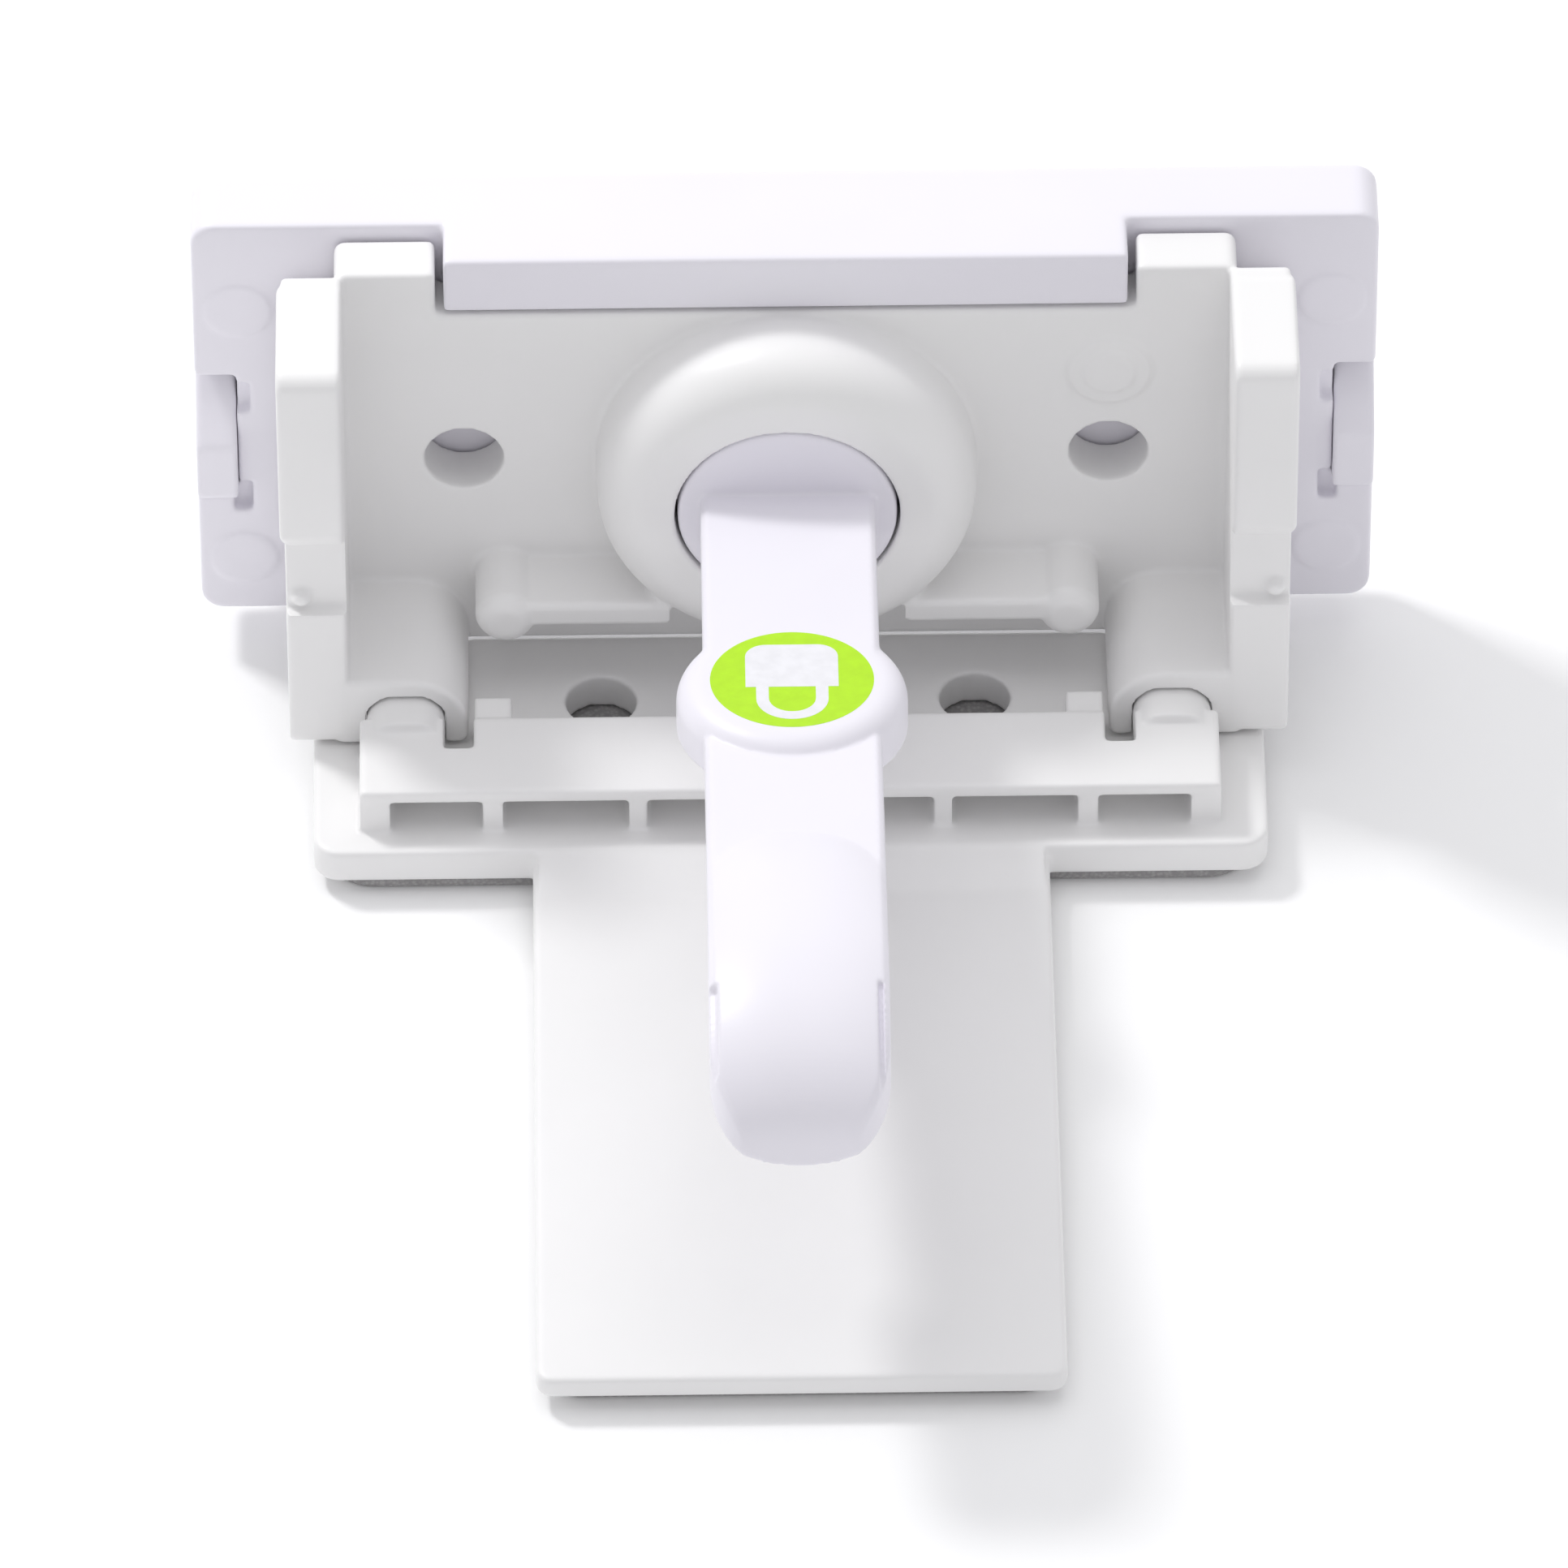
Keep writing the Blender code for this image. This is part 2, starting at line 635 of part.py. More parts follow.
def settle(made):
    """Moves a piece's placing into its mesh."""
    bpy.context.view_layer.update()
    made.data.transform(made.matrix_world)
    made.location = (0.0, 0.0, 0.0)
    made.rotation_euler = (0.0, 0.0, 0.0)
    bpy.context.view_layer.update()
    return made


def lever_disc():
    profile = [(DISC_RADIUS - 1.0, -DISC_THICK), (DISC_RADIUS, -DISC_THICK + 1.0)]
    for step in range(CORNER_STEPS + 1):
        angle = math.pi / 2 * step / CORNER_STEPS
        radius = DISC_RADIUS - DISC_EDGE * (1 - math.cos(angle))
        profile.append((radius, -DISC_EDGE * (1 - math.sin(angle))))
    return turned("disc", profile, "Z", (0.0, -DISC_AT))


def rotor():
    """The drum that turns in the collar, its neck through the flap's web and the square key for the cam."""
    axis = (0.0, AXIS_Z)
    drum = rod("drum", "Y", axis, ROTOR_RADIUS, ROTOR_FRONT, ROTOR_BACK, 0.3)
    neck = rod("neck", "Y", axis, NECK_RADIUS, ROTOR_BACK - 1.0, NECK_BACK)
    key_outline = rectangle(-KEY_HALF, KEY_HALF, AXIS_Z - KEY_HALF, AXIS_Z + KEY_HALF)
    unite(drum, neck, slab("key", key_outline, "Y", NECK_BACK - 1.0, KEY_BACK))
    return cut(drum, rod("screw_bore", "Y", axis, 1.6, ROTOR_BACK, KEY_BACK + 1.0, 0.0))


def lever_body(name):
    return skin(name, [lever_ring(along) for along in lever_stations()])


def lever_handle():
    arm = lever_body("lever_handle")
    unite(arm, lever_disc())
    cut(arm, *both_sides(nose_corner))
    cut(arm, rod("inlay_room", "Z", (0.0, -DISC_AT), INLAY_RADIUS + GAP, -1.2, 2.0))
    settle(place_on_lever(arm))
    return unite(arm, rotor())


def lime_inlay():
    made = rod("lime_inlay", "Z", (0.0, -DISC_AT), INLAY_RADIUS, -0.9, -0.35)
    return settle(place_on_lever(made))


def shackle_outline(half, radius, tip, root):
    """A U that opens towards the lever's root."""
    return rounded([(-half, tip, radius), (half, tip, radius), (half, root, 0.0), (-half, root, 0.0)])


def padlock_mark():
    """A plain padlock: a body with two round corners and a U-shaped shackle towards the lever's tip."""
    body_root = -DISC_AT + 5.5
    body_tip = -DISC_AT - 1.15
    layer = (-0.05, 0.2)
    half = 4.25
    tip_corners = [(-half, body_tip, 0.0), (half, body_tip, 0.0)]
    body = rounded(tip_corners + [(half, body_root, 1.9), (-half, body_root, 1.9)])
    made = slab("padlock_mark", body, "Z", *layer)
    shackle = slab("shackle", shackle_outline(3.3, 3.2, body_tip - 5.1, body_tip + 1.0), "Z", *layer)
    cut(shackle, slab("shackle_gap", shackle_outline(2.15, 2.1, body_tip - 3.9, body_tip), "Z", -1.0, 1.0))
    return settle(place_on_lever(unite(made, shackle)))


def wave_washer():
    washer = rod("wave_washer", "Y", (0.0, AXIS_Z), ROTOR_RADIUS - 0.6, ROTOR_BACK + GAP, WEB_FRONT - GAP)
    return cut(washer, rod("washer_hole", "Y", (0.0, AXIS_Z), NECK_RADIUS + 0.6, 0.0, WEB_FRONT + 1.0))


def detent_disc():
    """The snap ring behind the web. Its four notches hold the lever at each quarter turn."""
    disc = rod("detent_disc", "Y", (0.0, AXIS_Z), DETENT_RADIUS, WEB_BACK + GAP, DETENT_BACK)
    cut(disc, rod("disc_hole", "Y", (0.0, AXIS_Z), NECK_RADIUS + GAP, 0.0, WALL_BACK + 1.0))
    for quarter in range(4):
        angle = math.pi / 2 * quarter
        centre = (10.6 * math.sin(angle), AXIS_Z + 10.6 * math.cos(angle))
        cut(disc, rod("detent_notch", "Y", centre, 2.0, 0.0, WALL_BACK + 1.0))
    return disc


def detent_spring(sign):
    """A leaf across the pocket, above or below the detent disc."""
    name = "detent_spring_upper" if sign > 0 else "detent_spring_lower"
    height = AXIS_Z + sign * 11.2
    span = 9.8
    middle = [(-span, 0.0), (-3.0, 0.45), (0.0, -0.7), (3.0, 0.45), (span, 0.0)]
    upper = [Vector((x, height + sign * (bow + 0.25))) for x, bow in middle]
    lower = [Vector((x, height + sign * (bow - 0.25))) for x, bow in reversed(middle)]
    return slab(name, upper + lower, "Y", WEB_BACK + GAP, DETENT_BACK)


def screw_head_cone(radius_spare, low, high):
    """The countersunk head's cone, or with spare radius the seat for it."""
    slope = (SCREW_HEAD_RADIUS - SCREW_RADIUS) / (RETAINER_BACK - RETAINER_FRONT)
    ends = [SCREW_RADIUS + radius_spare + slope * (along - RETAINER_FRONT) for along in (low, high)]
    return [(ends[0], low), (ends[1], high)]


def spring_retainer():
    """The rear plate that keeps the detent and its springs in their pocket."""
    plate = slab("spring_retainer", retainer_outline(0.0), "Y", RETAINER_FRONT, RETAINER_BACK)
    cut(plate, rod("neck_hole", "Y", (0.0, AXIS_Z), NECK_RADIUS + GAP, 0.0, WALL_BACK + 1.0))
    for sign in (-1, 1):
        seat = screw_head_cone(GAP, RETAINER_FRONT - 0.01, RETAINER_BACK + 0.2)
        cut(plate, turned("seat", seat, "Y", (sign * BOSS_X, BOSS_Z), 20))
    return plate


def retainer_screw(side):
    """A countersunk screw through the retainer into a wing's boss."""
    name = "retainer_screw_left" if side < 0 else "retainer_screw_right"
    centre = (side * BOSS_X, BOSS_Z)
    screw = turned(name, screw_head_cone(0.0, RETAINER_FRONT, RETAINER_BACK), "Y", centre, 20)
    unite(screw, rod("shank", "Y", centre, SCREW_RADIUS, SCREW_TIP, RETAINER_FRONT + 0.3, 0.3))
    drive = (RETAINER_BACK - 0.4, RETAINER_BACK + 1.0)
    long_x = (centre[0] - 1.3, centre[0] + 1.3)
    short_x = (centre[0] - 0.25, centre[0] + 0.25)
    cut(screw, block("drive", long_x, drive, (BOSS_Z - 0.25, BOSS_Z + 0.25)))
    return cut(screw, block("drive", short_x, drive, (BOSS_Z - 1.3, BOSS_Z + 1.3)))


def cam_claw():
    """The cross-head behind the catch's slot, 24 mm by 9 mm, square on the rotor's key."""
    low, high = AXIS_Z - CLAW_WIDTH / 2, AXIS_Z + CLAW_WIDTH / 2
    claw = slab("cam_claw", rectangle(-CLAW_HALF, CLAW_HALF, low, high, 4.0), "Y", CLAW_FRONT, CLAW_BACK, 0.3)
    reach = KEY_HALF + GAP
    return cut(claw, block("key_hole", (-reach, reach), (0.0, 12.0), (AXIS_Z - reach, AXIS_Z + reach)))


def cam_screw():
    axis = (0.0, AXIS_Z)
    screw = rod("cam_screw", "Y", axis, 4.3, CLAW_BACK + GAP, CLAW_BACK + GAP + 0.65)
    unite(screw, rod("shank", "Y", axis, 1.3, ROTOR_BACK + 0.6, CLAW_BACK + GAP + 0.3))
    return cut(screw, block("drive_slot", (-2.6, 2.6), (CLAW_BACK + 0.6, 12.0), (AXIS_Z - 0.4, AXIS_Z + 0.4)))


# --- Catch --------------------------------------------------------------------------------------------------


def hook_side(side):
    """A snap hook of the catch's base: a stem, a ramp and a flat nose in the cover's side window."""
    nose = [(HOOK_FRONT, HOOK_Z[0]), (HOOK_FRONT, HOOK_Z[1]), (BASE_FRONT - 1.8, HOOK_TOP)]
    tail = [(BASE_FRONT + 0.5, HOOK_TOP), (BASE_FRONT + 0.5, HOOK_Z[0])]
    outline = rounded([(*nose[0], 1.0), (*nose[1], 1.6), (*nose[2], 0.5), (*tail[0], 0.0), (*tail[1], 0.0)])
    return slab("hook", outline, "X", *side_range(side, *HOOK_X), 0.4)


def ejector_mark(side, height):
    return rod("mark", "Y", (side * 50.8, height), 3.0, CATCH_FRONT - 0.15, CATCH_FRONT + 0.5)


def catch_cover():
    front = rectangle(-CATCH_HALF, CATCH_HALF, CATCH_BOTTOM, CATCH_TOP, 2.2)
    cover = slab("catch_cover", front, "Y", CATCH_FRONT, CATCH_BACK, 0.5)
    unite(cover, block("lip", (-LIP_HALF, LIP_HALF), (0.05, CATCH_FRONT + 2), (LIP_BOTTOM, CATCH_TOP), 0.5))
    inside = CATCH_HALF - CATCH_WALL
    hollow = rectangle(-inside, inside, CATCH_BOTTOM + CATCH_WALL, CATCH_TOP - CATCH_WALL, 1.0)
    cut(cover, slab("hollow", hollow, "Y", CATCH_FRONT + CATCH_WALL, CATCH_BACK + 1.0))
    relief_x = (-RELIEF_HALF, RELIEF_HALF)
    relief_y = (CATCH_FRONT - 1.0, CATCH_BACK + 1.0)
    cut(cover, block("relief", relief_x, relief_y, (CATCH_BOTTOM - 1.0, RELIEF_TOP)))
    slot = rounded(
        [
            (-SLOT_HALF, CATCH_BOTTOM - 1.0, 0.0),
            (SLOT_HALF, CATCH_BOTTOM - 1.0, 0.0),
            (SLOT_HALF, AXIS_Z + SLOT_HALF, SLOT_HALF - 0.1),
            (-SLOT_HALF, AXIS_Z + SLOT_HALF, SLOT_HALF - 0.1),
        ]
    )
    cut(cover, slab("slot", slot, "Y", CATCH_FRONT - 1.0, CATCH_FRONT + CATCH_WALL + 1.0))
    for side in (-1, 1):
        x = side_range(side, WINDOW_INNER, CATCH_HALF + 1.0)
        cut(cover, block("window", x, (CATCH_FRONT - 1.0, CATCH_BACK + 1.0), WINDOW_Z))
        for slot_z in WINDOW_SLOTS_Z:
            slot_x = side_range(side, WINDOW_SLOT_INNER, WINDOW_INNER + 0.5)
            cut(cover, block("window_slot", slot_x, (CATCH_FRONT - 1.0, CATCH_FRONT + CATCH_WALL - 0.5), slot_z))
        unite(cover, ejector_mark(side, 42.5), ejector_mark(side, 11.4))
    return cover


def catch_base():
    edge = CATCH_WALL + GAP
    outline = rectangle(-CATCH_HALF + edge, CATCH_HALF - edge, CATCH_BOTTOM + edge, CATCH_TOP - edge, 1.0)
    base = slab("catch_base", outline, "Y", BASE_FRONT, CATCH_BACK)
    unite(base, *both_sides(hook_side))
    relief_x = (-RELIEF_HALF, RELIEF_HALF)
    return cut(base, block("relief", relief_x, (0.0, CATCH_BACK + 1.0), (0.0, RELIEF_TOP)))


def catch_foam():
    half = CATCH_HALF - 2.5
    low = CATCH_BOTTOM + 2.0
    outline = rounded(
        [
            (-half, low, 2.0),
            (-RELIEF_HALF - 1.0, low, 1.0),
            (-RELIEF_HALF - 1.0, RELIEF_TOP + 1.5, 0.5),
            (RELIEF_HALF + 1.0, RELIEF_TOP + 1.5, 0.5),
            (RELIEF_HALF + 1.0, low, 1.0),
            (half, low, 2.0),
            (half, CATCH_TOP - 2.5, 2.0),
            (-half, CATCH_TOP - 2.5, 2.0),
        ]
    )
    return slab("catch_foam", outline, "Y", CATCH_BACK + GAP, CATCH_FOAM_BACK)


# --- Assembly -----------------------------------------------------------------------------------------------


def main():
    for old in list(bpy.data.objects):
        bpy.data.objects.remove(old)
    latch = pivot("latch", (0.0, 0.0, 0.0))
    finish(door_plate(), latch, WARM_WHITE)
    finish(crossbar_foam(), latch, FOAM_GREY, 0.9)
    finish(stem_foam(), latch, FOAM_GREY, 0.9)
    for side in (-1, 1):
        finish(hinge_pin(side), latch, STEEL, 0.3, 1.0)
    flap_axis = pivot("flap_axis", (0.0, HINGE_Y, HINGE_Z), latch)
    finish(flap_frame(), flap_axis, WARM_WHITE)
    for sign in (-1, 1):
        finish(detent_spring(sign), flap_axis, STEEL, 0.3, 1.0)
        finish(retainer_screw(sign), flap_axis, STEEL, 0.3, 1.0)
    finish(spring_retainer(), flap_axis, COOL_WHITE)
    lever_axis = pivot("lever_axis", (0.0, ROTOR_FRONT, AXIS_Z), flap_axis)
    finish(lever_handle(), lever_axis, COOL_WHITE)
    finish(lime_inlay(), lever_axis, LIME)
    finish(padlock_mark(), lever_axis, COOL_WHITE)
    finish(wave_washer(), lever_axis, STEEL, 0.3, 1.0)
    finish(detent_disc(), lever_axis, COOL_WHITE)
    finish(cam_claw(), lever_axis, COOL_WHITE)
    finish(cam_screw(), lever_axis, STEEL, 0.3, 1.0)
    catch_axis = pivot("catch_axis", (0.0, CATCH_BACK, CATCH_BOTTOM), flap_axis)
    finish(catch_cover(), catch_axis, COOL_WHITE)
    finish(catch_base(), catch_axis, COOL_WHITE)
    finish(catch_foam(), catch_axis, FOAM_GREY, 0.9)
    latch.location.y = -(STEM_FRONT + CATCH_FOAM_BACK) / 2 * MM


main()
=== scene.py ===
"""Looks of a stick-on safety latch for an appliance door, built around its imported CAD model.

Pieces are drawn in millimetres, with the front of the flap's wall as Y = 0 and the underside of the door
plate's foam as Z = 0, and then moved along Y to where the CAD model has them.
"""

import math

import bmesh
import bpy
from mathutils import Matrix, Vector


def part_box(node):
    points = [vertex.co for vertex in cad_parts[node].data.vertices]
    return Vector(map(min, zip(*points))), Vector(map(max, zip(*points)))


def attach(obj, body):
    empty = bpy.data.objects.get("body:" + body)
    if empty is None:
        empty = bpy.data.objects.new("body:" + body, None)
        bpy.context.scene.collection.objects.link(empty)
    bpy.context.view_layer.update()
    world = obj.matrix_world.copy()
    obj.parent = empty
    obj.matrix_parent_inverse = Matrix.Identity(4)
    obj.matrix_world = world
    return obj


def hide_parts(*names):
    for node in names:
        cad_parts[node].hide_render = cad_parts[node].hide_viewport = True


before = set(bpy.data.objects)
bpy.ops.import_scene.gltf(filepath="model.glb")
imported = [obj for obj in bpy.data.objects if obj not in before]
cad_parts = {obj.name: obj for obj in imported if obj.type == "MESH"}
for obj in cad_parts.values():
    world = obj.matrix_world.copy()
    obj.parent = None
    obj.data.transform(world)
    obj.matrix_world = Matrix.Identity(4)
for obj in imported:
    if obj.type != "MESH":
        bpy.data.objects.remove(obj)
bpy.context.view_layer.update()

MM = 0.001
GAP = 0.3
ROUND_STEPS = 96
CORNER_STEPS = 10
EDGE_STEPS = 4
MOULD_VOXEL = 0.25
LEVER_VOXEL = 0.2
ROUGH_VOXEL = 0.0
EASE_PASSES = 4
THIN_SHARE = 0.3

# How far a cutting solid reaches past what it cuts
PAST = 1.0

# Door plate
BAR_HALF = 44.4
BAR_FRONT = -28.7
BAR_TOP = 5.2
BAR_BACK = 0.6
BAR_END_BACK = -10.5
BAR_MIDDLE_HALF = 30.2
STEM_HALF = 24.0
STEM_FRONT = -96.3
STEM_TOP = 3.9
FOAM_THICK = 1.2
FOAM_INSET = 1.6
BAR_FOAM_FRONT = BAR_FRONT + 0.9
STEM_RAMP = 4.5
PLATE_BOTTOM = FOAM_THICK + GAP
PLATE_HOLE = (17.5, -8.3, 3.3)
BACK_EDGE_Y = (-1.6, 0.45)
FOAM_BULGE = 0.18

# Hinge beam on the door plate
BEAM_HALF = 40.0
BEAM_FRONT = -25.9
BEAM_BACK = -15.6
BEAM_TOP = 10.2
BEAM_SKIN = 1.5
BEAM_LEGS = ((13.3, 15.0), (26.7, 28.6), (37.2, BEAM_HALF))
POST_X = (25.8, 29.3)
POST_BACK = -12.4
BEAM_NOTCH_X = (29.4, 32.2)
BEAM_NOTCH_FRONT = -19.7

# Hinge
HINGE = (2.1, 9.9)
ARM_X = (32.1, 39.4)
ARM_TOP = 11.2
ARM_BOTTOM = 7.3
KNUCKLE_RADIUS = 2.6
PIN_BORE_RADIUS = 1.3

# Flap
FLAP_HALF = 46.6
FLAP_BOTTOM = BAR_TOP + GAP
WALL_BACK = 5.05
WALL_TOP = 46.3
TAB_X = (32.4, 41.7)
TAB_TOP = 51.4
EAR_INNER = 41.0
EAR_FRONT = -14.3
EAR_TOP = 51.5
PAD_BOTTOM = 30.8
PAD_PROUD = 0.4
NOTCH_BOTTOM = 22.0
NOTCH_DEPTH = 1.3
HOOD_INNER = 29.9
HOOD_TOP = 13.2
HOOD_CORNER = 5.3
ARCH_X = (32.0, 39.5)
ARCH_TOP = 11.5
ARCH_CORNER = 3.0
FLAP_HOLE_X = 30.0
FLAP_HOLE_RADIUS = 3.65
RIB_Z = (13.4, 16.15)
RIB_FRONT = -7.0
BOSS = (26.3, 14.2, 2.85)
STAMP_Z = 38.7
STAMP_RINGS = ((3.85, 0.3), (2.4, 0.5))

# Collar and rotor, turning about an axis along Y
AXIS_Z = 28.5
COLLAR_RADIUS = 17.65
COLLAR_FRONT = -8.6
COLLAR_EDGE = 4.6
ROTOR_RADIUS = 10.2
ROTOR_FRONT = -8.3
ROTOR_BACK = 0.7
WEB_FRONT = 1.7
WEB_BACK = 2.8
NECK_RADIUS = 6.0
NECK_BACK = 7.35
KEY_HALF = 3.0
KEY_BACK = 9.35
DETENT_RADIUS = 9.6
DETENT_BACK = 3.9
RETAINER_HALF = 12.6
RETAINER_Z = (10.4, 42.4)
RETAINER_BAR_HALF = 30.4
RETAINER_BAR_TOP = 18.0
SCREW_BORE_RADIUS = 1.3
SCREW_TIP = -5.1

# Lever, in its own frame: it runs along -Y from its root, and its top is Z = 0
LEVER_TILT = math.radians(8.0)
LEVER_ROOT_Z = 31.1
LEVER_HALF = 8.1
LEVER_THICK = 6.0
LEVER_STEP = 1.2
DISC_AT = 29.7
DISC_RADIUS = 10.6
DISC_THICK = 6.2
DISC_EDGE = 2.4
INLAY_RADIUS = 7.5
GRIP_START = 52.0
GRIP_FULL = 62.5
GRIP_CROWN = 1.5
NOSE_START = 68.0
NOSE_END = 85.5
NOSE_DROP = 13.0
NOSE_ROUND = 5.2
GROOVE_LEFT = (-8.3, -7.3, 74.2, 82.3)
GROOVE_RIGHT = (7.05, 7.6, 74.2, 84.6)
GROOVE_DEPTH = 0.9

# Catch
CATCH_HALF = 55.0
CATCH_BOTTOM = 4.7
CATCH_TOP = 52.9
CATCH_FRONT = WALL_BACK + GAP
CATCH_BACK = 12.6
CATCH_WALL = 2.0
LIP_HALF = 31.6
LIP_BOTTOM = 46.7
RELIEF_HALF = 30.4
RELIEF_TOP = 10.0
SLOT_HALF = NECK_RADIUS + 0.5
BASE_FRONT = 10.9
HOOK_X = (51.2, CATCH_HALF)
HOOK_FRONT = 4.0
HOOK_Z = (19.6, 26.4)
HOOK_TOP = 33.0
WINDOW_INNER = 51.15
WINDOW_Z = (19.2, 34.3)
WINDOW_SLOTS_Z = ((17.3, 21.0), (29.6, 33.4))
WINDOW_SLOT_INNER = 49.9
MARK_X = 50.8
MARK_Z = (42.5, 11.4)
MARK_RADIUS = 3.0
MARK_PROUD = 0.25
CATCH_FOAM_THICK = 1.0

# From the drawing's place to the CAD model's
SHIFT = Vector((0.0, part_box("door_plate")[0].y - STEM_FRONT * MM, 0.0))


# --- Outlines ---------------------------------------------------------------------------------------


def rounded(corners, steps=CORNER_STEPS):
    """An outline through corners (u, v, radius), each one turned by an arc of its radius."""
    points = []
    for index, (u, v, radius) in enumerate(corners):
        here = Vector((u, v))
        if radius <= 0:
            points.append(here)
            continue
        back = (Vector(corners[index - 1][:2]) - here).normalized()
        ahead = (Vector(corners[(index + 1) % len(corners)][:2]) - here).normalized()
        half_angle = back.angle(ahead) / 2
        centre = here + (back + ahead).normalized() * (radius / math.sin(half_angle))
        start = here + back * (radius / math.tan(half_angle)) - centre
        end = here + ahead * (radius / math.tan(half_angle)) - centre
        first = math.atan2(start.y, start.x)
        turn = (math.atan2(end.y, end.x) - first + math.pi) % math.tau - math.pi
        for step in range(steps + 1):
            angle = first + turn * step / steps
            points.append(centre + radius * Vector((math.cos(angle), math.sin(angle))))
    return points


def rectangle(u_low, u_high, v_low, v_high, radius=0.0):
    corners = [(u_low, v_low), (u_high, v_low), (u_high, v_high), (u_low, v_high)]
    return rounded([(u, v, radius) for u, v in corners])


def circle(u, v, radius):
    angles = [math.tau * step / ROUND_STEPS for step in range(ROUND_STEPS)]
    return [Vector((u + radius * math.cos(angle), v + radius * math.sin(angle))) for angle in angles]


def both_ends(right):
    """A symmetric outline from its right half, which is given from the bottom up."""
    return rounded(right + [(-u, v, radius) for u, v, radius in reversed(right)])


def mirrored(outline):
    return [Vector((-point.x, point.y)) for point in reversed(outline)]


def signed_area(outline):
    return sum(a.cross(b) for a, b in zip(outline, outline[1:] + outline[:1])) / 2


def inset(outline, distance):
    """The anticlockwise outline moved inwards, corner by corner."""
    moved = []
    for index, here in enumerate(outline):
        arriving = (here - outline[index - 1]).normalized()
        leaving = (outline[(index + 1) % len(outline)] - here).normalized()
        inward = Vector((-arriving.y, arriving.x))
        bisector = (inward + Vector((-leaving.y, leaving.x))).normalized()
        moved.append(here + bisector * (distance / max(bisector.dot(inward), 0.2)))
    return moved


# --- Solids -----------------------------------------------------------------------------------------

ALONG = {
    "X": lambda u, v, w: (w, u, v),
    "Y": lambda u, v, w: (u, w, v),
    "Z": lambda u, v, w: (u, v, w),
}


def skin(name, rings):
    """A closed solid through rings of points in millimetres, with a flat cap on the first and the last."""
    mesh = bmesh.new()
    loops = [[mesh.verts.new(Vector(point) * MM) for point in ring] for ring in rings]
    for low, high in zip(loops, loops[1:]):
        for index in range(len(low)):
            mesh.faces.new((low[index - 1], low[index], high[index], high[index - 1]))
    mesh.faces.new(loops[0][::-1])
    mesh.faces.new(loops[-1])
    bmesh.ops.recalc_face_normals(mesh, faces=mesh.faces)
    data = bpy.data.meshes.new(name)
    mesh.to_mesh(data)
    mesh.free()
    made = bpy.data.objects.new(name, data)
    bpy.context.scene.collection.objects.link(made)
    return made


def slab(name, outline, axis, low, high, edge=0.0):
    """An outline extruded along an axis, with its rims rounded by edge."""
    if signed_area(outline) < 0:
        outline = outline[::-1]
    levels = [(low, 0.0), (high, 0.0)]
    if edge:
        angles = [math.pi / 2 * step / EDGE_STEPS for step in range(EDGE_STEPS + 1)]
        rim = [(edge * (1 - math.sin(angle)), edge * (1 - math.cos(angle))) for angle in angles]
        levels = [(low + down, back) for down, back in reversed(rim)]
        levels = levels[::-1] if levels[0][0] > levels[-1][0] else levels
        levels += [(high - down, back) for down, back in rim]
        levels.sort()
    rings = [[ALONG[axis](p.x, p.y, level) for p in inset(outline, back)] for level, back in levels]
    return skin(name, rings)


def block(name, x, y, z, edge=0.0):
    return slab(name, rectangle(*x, *y), "Z", *z, edge)


def rod(name, axis, centre, radius, low, high, edge=0.0):
    return slab(name, circle(*centre, radius), axis, low, high, edge)


def turned(name, profile, axis, centre):
    """A solid of revolution from (radius, place along the axis) points."""
    rings = [[ALONG[axis](p.x, p.y, along) for p in circle(*centre, radius)] for radius, along in profile]
    return skin(name, rings)


def combine(target, others, operation):
    for other in others:
        modifier = target.modifiers.new(operation.lower(), "BOOLEAN")
        modifier.operation = operation
        modifier.solver = "EXACT"
        modifier.object = other
        apply_modifiers(target)
        bpy.data.objects.remove(other)
    return target


def apply_modifiers(target):
    graph = bpy.context.evaluated_depsgraph_get()
    result = bpy.data.meshes.new_from_object(target.evaluated_get(graph))
    target.modifiers.clear()
    old = target.data
    target.data = result
    bpy.data.meshes.remove(old)
    return target


def unite(target, *others):
    return combine(target, others, "UNION")


def cut(target, *others):
    return combine(target, others, "DIFFERENCE")


def both_sides(make):
    """make(side) for the left, -1, and the right, +1."""
    return [make(-1), make(1)]


def side_range(side, low, high):
    return sorted((side * low, side * high))


def moulded(piece, voxel=MOULD_VOXEL):
    """Fuses a piece into one even skin and eases all its edges and inner corners, as a mould leaves them."""
    remesh = piece.modifiers.new("skin", "REMESH")
    remesh.mode = "VOXEL"
    remesh.voxel_size = max(voxel, ROUGH_VOXEL) * MM
    ease = piece.modifiers.new("ease", "SMOOTH")
    ease.factor = 0.5
    ease.iterations = EASE_PASSES
    return apply_modifiers(piece)


def lighten(piece):
    """Thins out the faces where the surface is flat or nearly so, which leaves the shape as it is."""
    thin = piece.modifiers.new("thin", "DECIMATE")
    thin.decimate_type = "COLLAPSE"
    thin.ratio = THIN_SHARE
    return apply_modifiers(piece)


# --- Materials --------------------------------------------------------------------------------------


def shader_of(name):
    made = bpy.data.materials.new(name)
    made.use_nodes = True
    tree = made.node_tree
    place = tree.nodes.new("ShaderNodeTexCoord")
    return made, tree, tree.nodes["Principled BSDF"], place.outputs["Object"]


def noise(tree, place, scale, detail=3.0):
    made = tree.nodes.new("ShaderNodeTexNoise")
    made.inputs["Scale"].default_value = scale
    made.inputs["Detail"].default_value = detail
    tree.links.new(place, made.inputs["Vector"])
    return made.outputs["Fac"]


